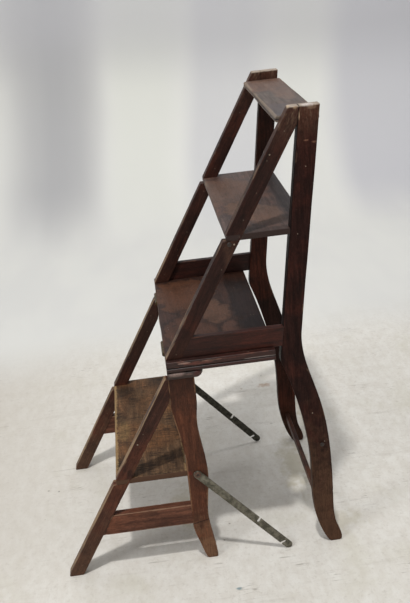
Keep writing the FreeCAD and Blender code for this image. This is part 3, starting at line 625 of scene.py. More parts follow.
def paintSpots(w, look, colour, place, clouded):
    # Patches round their centres: soft ones, or ones with a dark rim
    kind = "crisp" if look["rim"] else "soft"
    for centre, stretch, reach, strength, paint in look["spots"]:
        gap = w.plus(w.away(place, centre, stretch), w.times(clouded, reach * spotEdge["ragged"]))
        if look["rim"]:
            ring = w.times(acrossEdge(w, gap, reach, "rimOuter"),
                           acrossEdge(w, gap, reach, "rimInner"))
            colour = w.mix(w.times(ring, look["rim"]), colour, look["deep"])
        colour = w.mix(acrossEdge(w, gap, reach, kind, strength), colour, paint)
    return colour


def paintGrain(w, look, colour, place, grain, figure, age):
    # Fibre and fine mottling, pores, a rough tread's hatching, and grime
    colour = w.shade(colour, figure["Fibre"], 0.3, 0.7, *look["streaks"])
    mottled = w.noise(w.place(grain, (0.4, 2.1, 1.7), scale=(0.4, 1.0, 1.0)), 360.0, 4.0, 0.78)
    colour = w.shade(colour, mottled, 0.34, 0.66, *look["mottle"])
    colour = w.mix(w.times(figure["Pores"], 0.5), colour, look["pore"])
    if look["hatch"]:
        hatch = w.noise(w.place(place, (0.3, 0.8, 0.0), scale=(1.0, 0.07, 1.0)), 420.0, 4.0, 0.65)
        worked = w.noise(w.place(place, (1.3, 2.8, 0.0)), 24.0, 4.0, 0.65)
        hatch = w.times(w.remap(hatch, 0.47, 0.6), w.remap(worked, 0.38, 0.56))
        colour = w.mix(w.times(hatch, look["hatch"]), colour, look["pore"])
    return w.mix(w.times(age["Grime"], look["grime"]), colour, look["pore"])


def bareWood(w, look, grain, parts, values):
    # Share of bare wood and painted highlight: the most of scraped faces, worn arrises that also
    # stand for their highlights, and a rubbed top
    faceWear = look["faceWear"]
    if look["faceMore"]:
        start, end, more = look["faceMore"]
        faceWear = w.plus(w.remap(parts[2], start, end, 0.0, more), faceWear)
    scraped = w.noise(w.place(grain, (5.1, 0.7, 1.9), scale=(0.2, 1.0, 1.0)), 70.0, 5.0, 0.7)
    edge = w.minus(0.64, w.times(faceWear, 0.24))
    patchy = w.remap(w.minus(scraped, edge), -0.02, 0.14)
    bare = w.times(w.times(values["face"], patchy), faceWear)
    worn = w.group(wearAndGlintGroup, {
        "Vector": grain, "Distance": values["arris"], "Reach": look["wearReach"],
        "Cover": look["wearCover"],
    })["Worn"]
    # Worn arrises, which also paint the highlights along them
    bare = w.calc("MAXIMUM", bare, w.times(worn, look["wear"]))
    if look["crown"]:
        start, end, most = look["crown"]
        rubbed = w.noise(w.place(grain, (0.2, 0.6, 1.4), scale=(0.3, 1.0, 1.0)), 150.0, 6.0, 0.75)
        rubbed = w.times(w.remap(rubbed, 0.46, 0.78), w.remap(parts[2], start, end))
        bare = w.calc("MAXIMUM", bare, w.times(rubbed, most))
    return bare


def paintEnds(w, look, colour, parts, figure, ragged):
    # A tread's stained end grain, past a distance from the middle plane
    for start, end, strength, paint in look["ends"]:
        part = w.plus(w.absolute(parts[0]), w.times(ragged, 0.002))
        stain = w.mix(w.remap(figure["Fibre"], 0.3, 0.7), paint, look["pore"])
        colour = w.mix(w.remap(part, start, end, 0.0, strength), colour,
                       w.mix(0.75, stain, paint))
    return colour


def paintMarks(w, look, colour, place, age, hollow, clouded):
    # Painted shade in the hollows, dark glued seams, pale specks and scratches
    # Painted shade: the hollows darkened towards the pore colour
    colour = w.mix(w.times(hollow, 0.85, True), colour, look["pore"])
    for spot, facing, half, strength in look["seams"]:
        offset = w.vector("DOT_PRODUCT", w.vector("SUBTRACT", place, spot), facing)
        away = w.absolute(w.plus(offset, w.times(clouded, half * 2)))
        colour = w.mix(w.remap(away, half, half * 0.3, 0.0, strength), colour, look["pore"])
    marks = w.calc("MAXIMUM", w.times(age["Specks"], look["specks"]),
                   w.times(age["Scratches"], look["scratches"]))
    return w.mix(marks, colour, look["mark"])


def woodGloss(w, look, parts, fibre, bare):
    # Roughness and specular level: rougher where bare, smoother in a polished band
    rough = w.remap(fibre, 0.25, 0.75, *look["rough"], "LINEAR")
    rough = w.plus(rough, w.times(bare, 0.18), clamp=True)
    if not look["polish"]:
        return rough, look["gloss"]
    start, end, amount = look["polish"]
    polished = w.remap(w.absolute(parts[0]), start, end, 0.0, amount)
    return (w.minus(rough, w.times(polished, 0.25), clamp=True),
            w.plus(w.times(polished, 0.5), look["gloss"]))


def woodHeight(w, figure, age):
    # Height for the bump: fibre up, pores and scratches down, grime up
    height = w.minus(w.times(figure["Fibre"], 0.5), w.times(figure["Pores"], 0.5))
    height = w.minus(height, w.times(age["Scratches"], 0.3))
    return w.plus(height, w.times(age["Grime"], 0.25))


def woodMaterial(name, look):
    # The layers of wood in their order, from stain to dirt and painted shade
    material, w, place = newMaterial(name)
    grain = w.place(place, look["shift"], grainTurns[look["grain"]])
    figure = w.group(figureGroup, {"Vector": grain, "Fineness": look["fineness"]})
    age = w.group(ageGroup, {"Vector": w.place(place, look["shift"])})
    values = {label: w.attribute(label) for label in ("arris", "face", "hollow")}
    parts = w.parts(place)
    ragged = w.centred(place, 60.0, 4.0, 0.6)
    clouded = w.centred(place, 26.0, 4.0, 0.62)
    colour = stainedWood(w, look, grain, figure, age)
    colour = paintZones(w, look, colour, parts, ragged)
    colour = paintSpots(w, look, colour, place, clouded)
    colour = paintGrain(w, look, colour, place, grain, figure, age)
    bare = bareWood(w, look, grain, parts, values)
    colour = w.mix(bare, colour, look["worn"])
    colour = paintEnds(w, look, colour, parts, figure, ragged)
    colour = paintMarks(w, look, colour, place, age, values["hollow"], clouded)
    rough, gloss = woodGloss(w, look, parts, figure["Fibre"], bare)
    closeMaterial(w, {
        "Base Color": colour, "Roughness": rough, "Specular IOR Level": gloss,
        "Normal": w.bump(woodHeight(w, figure, age), 0.35, 0.0004),
        "Coat Weight": look["coat"], "Coat Roughness": 0.32,
    })
    return material


def placeAt(x, y, z):
    # Millimetres from the fold line to a place in Object coordinates
    return tuple(metres((x, y, z)).tolist())


def spotAt(x, y, z, reach, strength, paint, stretch=(1.0, 1.0, 1.0)):
    # A patch centred on a place, its reach in millimetres
    return (placeAt(x, y, z), stretch, reach * 0.001, strength, paint)


def sideSpots(x, *rows):
    # Spots on an upright face at x, each given as y, z and the rest
    return tuple(spotAt(x, *row) for row in rows)


def topSpots(z, *rows):
    # Spots on a level face at z, each given as x, y and the rest
    return tuple(spotAt(x, y, z, *rest) for x, y, *rest in rows)


def woodLook(**changes):
    # The dark red-brown finish that every piece starts from
    look = {
        "grain": "upright", "shift": (0.0, 0.0, 0.0), "fineness": 1.0, "contrast": 0.3,
        "deep": (22, 14, 12), "main": (40, 26, 22), "warm": (60, 33, 24), "warmth": 0.35,
        "dye": (1.0, 1.0, 1.0), "handled": (0.45, 1.72), "streaks": (0.72, 1.3),
        "mottle": (0.76, 1.26), "pore": (14, 9, 8), "grime": 0.25, "hatch": 0.0,
        "worn": (112, 86, 66), "wear": 0.6, "wearReach": 1.1, "wearCover": 0.35,
        "faceWear": 0.0, "faceMore": None, "crown": None,
        "mark": (150, 134, 118), "specks": 0.5, "scratches": 0.1,
        "zones": (), "spots": (), "rim": 0.0, "ends": (), "seams": (),
        "rough": (0.4, 0.6), "gloss": 0.16, "polish": None, "coat": 0.0,
    }
    look.update(changes)
    return look


endGrain = ("up", 0.8972, 0.8999, 0.85, (170, 156, 142))  # a zone over the tops' end grain
treadEnds = (0.1965, 0.1985)  # where a tread's end grain begins and is full
mouldingPlace = (0.2005, 0.2025)  # and where the seat board's polished moulding does
woods = {
    "nearPost": woodLook(
        deep=(20, 13, 12), main=(36, 25, 23), warm=(56, 33, 26), warmth=0.4,
        shift=(0.3, 0.1, 0.7), dye=(1.38, 0.9, 0.8), gloss=0.09,
        crown=(0.84, 0.9, 0.75), worn=(122, 98, 80),
        zones=(("up", 0.82, 0.895, 0.7, (78, 50, 39)), endGrain,
               ("up", 0.36, 0.06, 0.8, (84, 60, 45))),
        spots=sideSpots(outerX, (279, 841.5, 5.0, 0.6, (134, 96, 76), (1, 0.9, 2.4)),
                        (292.5, 837.5, 5.0, 0.5, (124, 90, 72), (1, 0.8, 2.2)),
                        (268, 886, 4.5, 0.7, (176, 148, 122), (1, 2.2, 0.5)))
        # The pale spot on the top end and the one at z 896 below it are painted highlights
        + topSpots(901, (194, 283, 12.0, 0.7, (206, 198, 194), (1, 1, 2.5)))
        + sideSpots(outerX, (290, 896, 5.0, 0.4, (150, 124, 104), (1, 0.6, 1.4)),
                    (262, 150, 9.0, 0.4, (40, 26, 20), (1, 1, 0.6))),
        seams=((placeAt(outerX, 269.4, 900), (0.0, 0.993, -0.119), 0.0011, 0.9),)),
    "farPost": woodLook(
        deep=(24, 14, 11), main=(42, 26, 21), warm=(70, 38, 26), warmth=0.45,
        shift=(1.3, 0.6, 0.2), dye=(1.15, 0.92, 0.88), gloss=0.09,
        crown=(0.86, 0.9, 0.7), worn=(122, 98, 80),
        zones=(("up", 0.85, 0.895, 0.6, (76, 52, 42)), endGrain,
               ("up", 0.15, 0.02, 0.4, (66, 46, 34)))),
    "upperStringer": woodLook(
        grain="slanting", deep=(23, 14, 12), main=(40, 26, 22), warm=(58, 32, 23),
        shift=(0.8, 0.4, 1.1), worn=(136, 112, 90), faceWear=0.5,
        faceMore=(0.62, 0.48, 0.4), crown=(0.83, 0.9, 0.8),
        dye=(1.28, 0.95, 0.87), specks=0.3,
        # The pale spot on the top end and the one at z 898 below it are painted highlights
        spots=topSpots(901, (194, 246, 12.0, 0.8, (216, 192, 162), (1, 1, 2.5)))
        + sideSpots(outerX, (262, 898, 5.0, 0.5, (168, 142, 116), (1, 1, 1.6)),
                    (135, 650, 26.0, 0.5, (84, 58, 46), (1, 2.0, 0.6))),
        zones=(("up", 0.8, 0.9, 0.55, (74, 48, 38)), endGrain,
               ("up", 0.53, 0.46, 0.4, (60, 36, 26)))),
    "lowerStringer": woodLook(
        grain="slanting", deep=(34, 21, 17), main=(66, 45, 37), warm=(88, 52, 36),
        warmth=0.4, shift=(0.2, 1.4, 0.5), worn=(150, 126, 98), faceWear=0.8,
        dye=(1.2, 0.97, 0.9), handled=(0.58, 1.46), specks=0.3,
        zones=(("up", 0.2, 0.0, 0.6, (88, 65, 50)),),
        spots=sideSpots(-190, (-32, 350, 150.0, 0.85, (47, 31, 26), (1, 1, 0.95)))
        + sideSpots(outerX, (-112, 204, 20.0, 0.7, (92, 54, 38), (1, 1, 1.2)),
                    (-78, 236, 16.0, 0.5, (96, 62, 42)))),
    "frontLeg": woodLook(
        deep=(48, 28, 19), main=(82, 50, 35), warm=(104, 60, 38), warmth=0.4,
        # Strong arris marks: worn edges that also paint the light lines along them (painted
        # highlights)
        shift=(2.3, 0.2, 0.9), dye=(1.14, 1.03, 0.98), wear=0.75, wearCover=0.6,
        handled=(0.62, 1.42), worn=(128, 96, 72),
        zones=(("up", 0.13, 0.0, 0.8, (116, 86, 64)), ("up", 0.3, 0.4, 0.75, (50, 30, 23))),
        spots=sideSpots(outerX, (21.3, 211, 8.0, 0.7, (96, 36, 26))),
        seams=((placeAt(outerX, 31.1, 92.6), (0.0, -0.237, 0.972), 0.0012, 0.85),)),
    "stretcher": woodLook(
        grain="level", deep=(58, 36, 28), main=(96, 64, 50), warm=(112, 68, 48),
        warmth=0.4, shift=(0.5, 0.9, 1.9), dye=(1.2, 1.1, 1.06),
        # Strong arris marks: worn edges that also paint the light lines along them (painted
        # highlights)
        wear=0.8, wearCover=0.8, worn=(134, 104, 84), handled=(0.62, 1.42)),
    "seatRail": woodLook(
        grain="level", deep=(27, 15, 12), main=(46, 27, 22), warm=(62, 31, 22),
        warmth=0.4, shift=(1.7, 0.3, 0.8), worn=(110, 70, 50), gloss=0.25,
        dye=(1.2, 0.8, 0.7)),
    "seatBoard": woodLook(
        grain="across", deep=(42, 28, 24), main=(64, 45, 39), warm=(84, 52, 37),
        warmth=0.5, grime=0.35, shift=(0.1, 0.8, 0.3), rough=(0.4, 0.58),
        streaks=(0.86, 1.12), gloss=0.2, wearReach=1.4, wearCover=0.5,
        rim=0.7, worn=(122, 76, 60), zones=(("out", *mouldingPlace, 0.95, (52, 25, 20)),),
        polish=(*mouldingPlace, 0.3), handled=(0.65, 1.4),
        spots=topSpots(463, (-95, 55, 64.0, 0.5, (94, 62, 44), (0.7, 1, 1)),
                       (80, 62, 52.0, 0.4, (84, 56, 43), (0.7, 1, 1)),
                       (10, 116, 34.0, 0.55, (100, 72, 56), (0.55, 1, 1)),
                       (110, 140, 26.0, 0.5, (92, 64, 52), (0.5, 1, 1)),
                       (20, 184, 32.0, 0.6, (42, 34, 36), (0.25, 1, 1)),
                       (184, 16, 34.0, 0.55, (46, 32, 29), (1, 0.6, 1)))
        # Painted highlights along the moulding: reddish and pale glints on the band and the bead
        + sideSpots(layout["seatHalf"], (58, 457, 8.0, 0.75, (104, 56, 45), (1, 0.3, 2.2)),
                    (34, 459, 5.0, 0.7, (160, 128, 116), (1, 0.35, 2.6)),
                    (84, 459, 4.0, 0.6, (150, 112, 98), (1, 0.2, 2.6)),
                    (124, 459, 4.0, 0.4, (88, 48, 39), (1, 0.12, 2.4)),
                    (176, 452, 7.0, 0.6, (146, 136, 132), (1, 0.2, 3.2)))),
    "seatFront": woodLook(
        grain="across", deep=(34, 23, 20), main=(58, 41, 36), warm=(72, 38, 31),
        warmth=0.5, shift=(0.9, 0.2, 0.6), worn=(124, 100, 88), gloss=0.4,
        # Painted shade: a dark band on the top shoulder, in the wedge under the moulding
        zones=(("up", 0.4365, 0.438, 0.7, (34, 23, 19)),),
        # The two pale spots on the roll's end are painted highlights
        spots=sideSpots(layout["seatHalf"], (18, 438, 14.0, 0.75, (138, 116, 108), (1, 0.8, 2.6)),
                        (42, 436, 7.0, 0.6, (110, 88, 82), (1, 0.7, 2.6)),
                        (56, 434, 12.0, 0.8, (70, 28, 24)))),
    "frontRail": woodLook(
        grain="across", deep=(30, 19, 15), main=(52, 34, 27), shift=(0.4, 0.5, 0.2)),
    "crestRail": woodLook(
        grain="across", deep=(44, 27, 22), main=(74, 50, 42), warm=(104, 60, 40),
        warmth=0.5, shift=(0.6, 0.1, 0.2), handled=(0.7, 1.35),
        spots=topSpots(78, (120, 282, 60.0, 0.5, (104, 62, 40), (0.6, 0.2, 0.2)))),
    "topTread": woodLook(
        grain="across", deep=(70, 60, 56), main=(100, 90, 83), warm=(98, 72, 58),
        warmth=0.5, pore=(42, 34, 32), grime=0.35, worn=(138, 124, 108), wearReach=1.3,
        wearCover=0.8, shift=(0.2, 0.3, 0.1), streaks=(0.84, 1.12), rough=(0.42, 0.6),
        gloss=0.25, rim=0.3,
        spots=topSpots(layout["topTread"], (-130, 262, 60.0, 0.6, (104, 76, 62), (0.7, 1, 1)),
                       (-20, 284, 24.0, 0.5, (106, 82, 70), (0.4, 1, 1)),
                       (150, 240, 50.0, 0.6, (74, 70, 74), (0.6, 1, 1)))),
    "middleTread": woodLook(
        grain="across", deep=(60, 48, 46), main=(82, 66, 60), warm=(96, 62, 44),
        warmth=0.4, pore=(32, 24, 22), grime=0.3, worn=(112, 94, 80), wearReach=1.4,
        wearCover=0.4, shift=(1.2, 0.7, 0.4), streaks=(0.88, 1.1), rough=(0.42, 0.6), gloss=0.3,
        ends=((*treadEnds, 1.0, (46, 30, 26)),), rim=0.4,
        spots=topSpots(layout["middleTread"], (-60, 165, 60.0, 0.6, (94, 70, 57), (0.6, 1, 1)),
                       (60, 180, 34.0, 0.6, (104, 76, 58), (0.5, 1, 1)),
                       (110, 215, 36.0, 0.5, (100, 76, 62), (0.6, 1, 1)),
                       (0, 272, 24.0, 0.7, (46, 39, 40), (0.15, 1, 1)),
                       (196, 210, 22.0, 0.6, (44, 34, 32), (1, 0.25, 1)))),
    "lowerTread": woodLook(
        grain="across", deep=(66, 47, 34), main=(106, 81, 58), warm=(122, 84, 54),
        warmth=0.6, pore=(32, 24, 19), grime=0.3, worn=(164, 137, 97), wearReach=4.0,
        wearCover=0.95, shift=(0.7, 0.1, 0.9), streaks=(0.8, 1.14), rough=(0.5, 0.72),
        fineness=0.8, hatch=0.85, handled=(0.6, 1.42), mottle=(0.68, 1.3),
        ends=((*treadEnds, 0.95, (78, 54, 42)),),
        spots=topSpots(layout["lowerTread"], (-150, -100, 30.0, 0.7, (38, 29, 23), (0.9, 1, 1)),
                       (-165, -20, 34.0, 0.6, (52, 40, 30), (0.6, 1, 1)),
                       (150, -100, 26.0, 0.7, (36, 28, 22), (0.8, 1, 1)),
                       (20, -104, 16.0, 0.6, (132, 106, 70), (0.3, 1, 1)),
                       (60, -40, 40.0, 0.5, (104, 70, 44), (0.7, 1, 1)))),
}
woodMaterials = {name: woodMaterial(name, look) for name, look in woods.items()}


# Metal: mottled, with tarnish or rust, and finely scoured

countersunk = {  # each from where it fades out to where it is full, in metres
    "seat": (0.0037, 0.0033), "head": (0.0031, 0.0028), "slot": (0.0005, 0.0003),
}


def screwHeads(w, look, colour, place):
    # Countersunk heads with slots, the same on all four leaves: each lies along the leaf from
    # the hinge's middle, out from the fold, and has its slot's turn. The dark ring round each head
    # and the dark slot are painted shade
    parts = w.parts(place)
    for along, out, turn in look["screws"]:
        first = w.minus(w.absolute(parts[0]), (layout["hingeSpread"] + along) * 0.001)
        second = w.minus(w.absolute(w.minus(parts[1], foldPlace)), out * 0.001)
        gap = w.calc("SQRT", w.plus(w.times(first, first), w.times(second, second)))
        slot = w.absolute(w.plus(w.times(first, math.cos(turn)), w.times(second, math.sin(turn))))
        head = w.remap(gap, *countersunk["head"])
        colour = w.mix(w.remap(gap, *countersunk["seat"]), colour, look["deep"])
        colour = w.mix(head, colour, look["head"])
        colour = w.mix(w.times(head, w.remap(slot, *countersunk["slot"])), colour, (24, 18, 14))
    return colour


def metalMaterial(name, look):
    # Mottling, tarnish, painted shade in the hollows, scouring and painted screw heads
    material, w, place = newMaterial(name)
    mottle = w.noise(w.place(place, look["shift"]), look["mottleScale"], 5.0, 0.6, 0.3)
    colour = w.mix(w.remap(mottle, 0.35, 0.65), look["deep"], look["main"])
    patches = w.noise(w.place(place, (0.9, 0.4, 0.2)), look["patchScale"], 4.0, 0.6)
    patches = w.remap(patches, 0.5, 0.68)
    colour = w.mix(w.times(patches, look["patch"]), colour, look["tarnish"])
    # Painted shade in the hollows, such as the pivot screws' dimples
    colour = w.mix(w.times(w.attribute("hollow"), 0.85, True), colour, (20, 15, 13))
    scouring = w.noise(w.place(place, (0, 0, 0), (0.7, 0.0, 0.0), (1.0, 0.12, 1.0)), 1100.0, 2.0)
    colour = w.shade(colour, scouring, 0.3, 0.7, 0.82, 1.16)
    colour = screwHeads(w, look, colour, place)
    height = w.plus(w.times(scouring, 0.5), w.times(mottle, 0.6))
    closeMaterial(w, {
        "Base Color": colour, "Normal": w.bump(height, 0.4, 0.0003),
        "Roughness": w.remap(mottle, 0.3, 0.7, *look["rough"], "LINEAR"),
        "Metallic": w.minus(look["metallic"], w.times(patches, 0.35), clamp=True),
    })
    return material


def metalLook(**changes):
    # The small iron parts' finish, which the others start from
    look = {
        "deep": (26, 20, 18), "main": (52, 40, 34), "tarnish": (40, 28, 22), "patch": 0.5,
        "metallic": 0.2, "rough": (0.4, 0.62), "mottleScale": 420.0, "patchScale": 240.0,
        "shift": (0.2, 0.5, 0.1), "screws": (),
    }
    look.update(changes)
    return look


metals = {
    "staySteel": metalLook(
        deep=(80, 78, 68), main=(128, 124, 111), tarnish=(66, 58, 46), metallic=0.75,
        rough=(0.42, 0.62), mottleScale=120.0, patchScale=55.0, shift=(0.1, 0.3, 0.2)),
    # A darker copy of the stay steel for the far stay: painted shade, as the seat shades that stay
    "oldSteel": metalLook(
        deep=(46, 44, 38), main=(84, 82, 73), tarnish=(52, 46, 38), metallic=0.75,
        rough=(0.45, 0.66), mottleScale=120.0, patchScale=55.0, shift=(0.6, 0.1, 0.4)),
    "screwSteel": metalLook(
        deep=(58, 42, 34), main=(104, 78, 62), tarnish=(80, 52, 38), patch=0.6, metallic=0.25,
        rough=(0.38, 0.6), shift=(0.4, 0.1, 0.5)),
    "studIron": metalLook(),
    "hingeBrass": metalLook(
        deep=(66, 55, 40), main=(106, 88, 60), tarnish=(56, 46, 36), patch=0.6, metallic=0.65,
        rough=(0.38, 0.58), mottleScale=260.0, patchScale=120.0, shift=(0.2, 0.2, 0.7),
        head=(104, 96, 84),
        screws=((-17.0, 11.5, 0.6), (0.0, 18.5, 2.1), (17.0, 11.5, 1.3))),
}
metalMaterials = {name: metalMaterial(name, look) for name, look in metals.items()}
print("stage: materials made")


def dress(piece, body, slotName, material, *nodes):
    # Gives a piece its material and its body, and hides the imported nodes that it stands for.
    # slotName is not used
    piece.data.materials.clear()
    piece.data.materials.append(material)
    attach(piece, body)
    if nodes:
        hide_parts(*nodes)


def makeSides(name, body, node, looks, heights, front, back, seed, **worked):
    # A left and a right upright board, from the sides' inner faces to their outer ones
    for number, (side, sign) in enumerate(sideNames):
        path = uprightPath(*heights, front, back, sign * innerX, sign * outerX)
        piece = board(name + "_" + side, path, seed=seed + number, **worked)
        dress(piece, body, node, woodMaterials[looks[number]], node + "_" + side)


# Swept posts, which are the chair's back legs turned over. What is worked and worn is for
# board and for wornToe

post = {
    "topReach": 305.0, "width": 36.0, "rake": 0.12, "knee": 432.0, "kneeSlope": 0.38,
    "kneeShare": 0.7, "nape": 492.0, "thigh": (284.0, 341.0), "calf": (302.5, 190.0),
    "calfWidth": 40.0, "ankle": 88.0, "heel": 321.5, "heelLength": 28.0, "flare": 0.62,
    "heelSlope": 0.12, "backAnkle": (1.0, 20.0), "backHeel": (-12.0, 40.0),
    "frontAnkle": (1.0, 12.0), "frontHeel": (10.0, 48.0),
    "frontWear": (7.0, 3.0), "backWear": (19.0, -9.0),
    "worked": {"arris": 1.8, "ends": 1.6, "chips": 16, "chipDepth": 1.6, "spacing": 9.0},
}


def straightFront(z):
    # Front of a post above its knee
    return post["topReach"] - post["width"] + post["rake"] * (z - layout["fullHeight"])


def straightBack(z):
    # And its back, a post's width behind
    return straightFront(z) + post["width"]


def shifted(step, y, z):
    # A point of an outline, a step away from y and z
    return (y + step[0], z + step[1])


def postCurves():
    # Front and back lines of a post: splines from the foot to the knee, then straight
    calfBack, calfHeight = post["calf"]
    calfFront = calfBack - post["calfWidth"]
    kneeFront = straightFront(post["knee"])
    midFront = kneeFront + (calfFront - kneeFront) * post["kneeShare"]
    top = layout["fullHeight"]
    back = smoothLine([
        (straightBack(post["nape"]), post["nape"]), post["thigh"], post["calf"],
        shifted(post["backAnkle"], calfBack, post["ankle"]),
        shifted(post["backHeel"], post["heel"], 0.0), (post["heel"], 0.0),
    ], (-post["rake"], -1.0), (post["heelSlope"], -1.0))
    front = smoothLine([
        (post["heel"] - post["heelLength"], 0.0), shifted(post["frontHeel"], calfFront, 0.0),
        shifted(post["frontAnkle"], calfFront, post["ankle"]), (calfFront, calfHeight),
        (midFront, (post["knee"] + calfHeight) / 2), (kneeFront, post["knee"]),
    ], (-post["flare"], 1.0), (-post["kneeSlope"], 1.0))
    back = np.vstack([back, [(straightBack(top), top)]])
    front = np.vstack([front, [(straightFront(top), top)]])
    return heightCurve(front), heightCurve(back)


def makePosts():
    front, back = postCurves()
    high = layout["fullHeight"]
    makeSides("post_wood", "upper_half", "back_post", ("farPost", "nearPost"), (0.0, high),
              wornToe(front, *post["frontWear"]), wornToe(back, *post["backWear"]), 11,
              bends=toeBends(high), **post["worked"])


makePosts()

# Front legs of the lower half

leg = {
    "topWidth": 50.0, "shoulder": 371.85, "waist": (47.0, 338.0), "pivot": (57.0, 208.0),
    "ankle": (49.0, 102.0), "instep": (56.0, 43.0), "toe": 61.0, "footLength": 22.0,
    "shin": 16.0, "shinTop": 233.0, "shinBottom": 88.0, "footShare": 0.42, "thighShare": 0.55,
    "toeSlope": 0.1, "footSlope": -0.45, "rearWear": (5.0, 2.5), "foreWear": (9.0, -4.5),
    "worked": {"arris": 1.6, "ends": 1.5, "chips": 9, "chipDepth": 1.3, "spacing": 8.0},
}


def legCurves():
    # Rear and fore lines of a front leg. The rear one is two splines with a straight shin
    # between them
    top = layout["stripBottom"]
    shin, heel = leg["shin"], leg["toe"] - leg["footLength"]
    fore = smoothLine([
        (leg["topWidth"], leg["shoulder"]), leg["waist"], leg["pivot"], leg["ankle"],
        leg["instep"], (leg["toe"], 0.0),
    ], (0.0, -1.0), (leg["toeSlope"], -1.0))
    foot = smoothLine([
        (heel, 0.0), (shin + (heel - shin) * leg["footShare"], leg["shinBottom"] / 2),
        (shin, leg["shinBottom"]),
    ], (leg["footSlope"], 1.0), (0.0, 1.0))
    thigh = smoothLine([
        (shin, leg["shinTop"]), (shin * leg["thighShare"], (leg["shinTop"] + leg["shoulder"]) / 2),
        (0.0, leg["shoulder"]),
    ], (0.0, 1.0), (0.0, 1.0))
    fore = np.vstack([fore, [(leg["topWidth"], top)]])
    rear = np.vstack([foot, thigh, [(0.0, top)]])
    return heightCurve(rear), heightCurve(fore)


def makeFrontLegs():
    rear, fore = legCurves()
    high = layout["stripBottom"]
    makeSides("front_leg_wood", "base_half", "front_leg", ("frontLeg", "frontLeg"), (0.0, high),
              wornToe(rear, *leg["rearWear"]), wornToe(fore, *leg["foreWear"]), 21,
              bends=toeBends(high), **leg["worked"])


makeFrontLegs()

# Stringers, with a housing for each tread's end

stringer = {
    "frontWear": (7.0, 4.5), "backWear": (5.0, -3.0),
    "worked": {"arris": 1.3, "ends": 1.3, "chips": 12, "chipDepth": 1.2, "wornSide": 3},
}


def housed(front, back, top):
    # A stringer's front line, stepping in to a thin strip of wood between a tread's two faces
    bottom = top - layout["treadThickness"]

    def line(z):
        inside = (z > bottom) & (z < top)
        return np.where(inside, back(z) - layout["housingLeft"], front(z))
    return line


def kinksOf(places, low, high):
    # Places along a board as shares of its length
    return [(place - low) / (high - low) for place in places]


def housingKinks(top, low, high):
    return kinksOf((top - layout["treadThickness"], top), low, high)


def makeLowerStringers():
    # Their backs stop at the front legs
    top, high = layout["lowerTread"], layout["stripBottom"]
    front = wornToe(housed(lowerFront, lowerBack, top), *stringer["frontWear"])
    back = wornToe(lambda z: np.minimum(lowerBack(z), 0.0), *stringer["backWear"])
    makeSides("lower_stringer_wood", "base_half", "lower_stringer",
              ("lowerStringer", "lowerStringer"), (0.0, high), front, back, 31,
              kinks=housingKinks(top, 0.0, high), bends=toeBends(high), **stringer["worked"])


def makeUpperStringers():
    # Their backs stop at the posts
    top, low, high = layout["middleTread"], layout["boardTop"], layout["fullHeight"]
    makeSides("upper_stringer_wood", "upper_half", "upper_stringer",
              ("upperStringer", "upperStringer"), (low, high), housed(upperFront, upperBack, top),
              lambda z: np.minimum(upperBack(z), straightFront(z)), 41,
              kinks=housingKinks(top, low, high), **stringer["worked"])


makeLowerStringers()
makeUpperStringers()

# Rails and stretchers. Their ends run on a little inside the pieces that they meet

overlap = {"intoStringer": 2.0, "intoUpright": 1.5, "intoSide": 0.5}
stretcher = {"top": 135.0, "bottom": 90.0, "thickness": 17.0,
             "worked": {"arris": 1.2, "ends": 0.6, "chips": 4}}
rail = {"top": 503.15, "thickness": 12.0, "worked": {"arris": 1.6, "ends": 0.6, "chips": 5}}
apron = {"low": 393.85, "high": 422.85, "front": 25.0, "thickness": 16.0,
         "worked": {"arris": 1.2, "ends": 0.5, "chips": 3}}
crest = {"low": 64.5, "high": 81.5, "front": 277.5, "thickness": 9.0,
         "worked": {"arris": 1.5, "ends": 0.5, "chips": 5}}


def makeStretcher(side, sign, seed):
    # From a lower stringer to a front leg, set in a little from both faces of the side
    low, high = stretcher["bottom"], stretcher["top"]
    recess = (layout["board"] - stretcher["thickness"]) / 2
    rear = leg["shin"] + overlap["intoUpright"]
    path = levelPath((lowerBack(low) - overlap["intoStringer"], rear),
                     (lowerBack(high) - overlap["intoStringer"], rear), low, high,
                     sign * (innerX + recess), sign * (outerX - recess))
    piece = board("stretcher_wood_" + side, path, seed=seed, **stretcher["worked"])
    dress(piece, "base_half", "side_stretcher", woodMaterials["stretcher"],
          "side_stretcher_" + side)


def makeSeatRail(side, sign, seed):
    # From an upper stringer to a post, flush with the side's outer face
    low, high = layout["boardTop"], rail["top"]
    under, over = ((upperBack(z) - overlap["intoStringer"],
                    straightFront(z) + overlap["intoUpright"]) for z in (low, high))
    path = levelPath(under, over, low, high, sign * (outerX - rail["thickness"]), sign * outerX)
    piece = board("seat_rail_wood_" + side, path, seed=seed, **rail["worked"])
    dress(piece, "upper_half", "seat_rail", woodMaterials["seatRail"], "seat_rail_" + side)


def makeCrossRail(name, body, sizes, seed, material):
    # A rail across the chair, between its sides
    reach = innerX + overlap["intoSide"]
    path = crossPath(-reach, reach, lambda x: sizes["front"],
                     lambda x: sizes["front"] + sizes["thickness"], sizes["low"], sizes["high"])
    piece = board(name + "_wood", path, seed=seed, **sizes["worked"])
    dress(piece, body, name, material, name)


for number, (side, sign) in enumerate(sideNames):
    makeStretcher(side, sign, 51 + number)
    makeSeatRail(side, sign, 61 + number)
makeCrossRail("front_rail", "base_half", apron, 71, woodMaterials["frontRail"])
makeCrossRail("crest_rail", "upper_half", crest, 72, woodMaterials["crestRail"])

# Treads: rounded front edges, and ends that show in the sides

tread = {
    "setback": 0.3, "intoLeg": 0.2, "sideGap": 0.4, "intoPost": 0.5, "pastPost": 1.0,
    "topNose": 10.0, "topTail": 4.0, "topClearance": 0.3, "groove": (1, 1.3),
    "worked": {"radii": (0.9, 3.2, 3.2, 1.1), "ends": 0.7, "chips": 7, "chipDepth": 1.1},
}


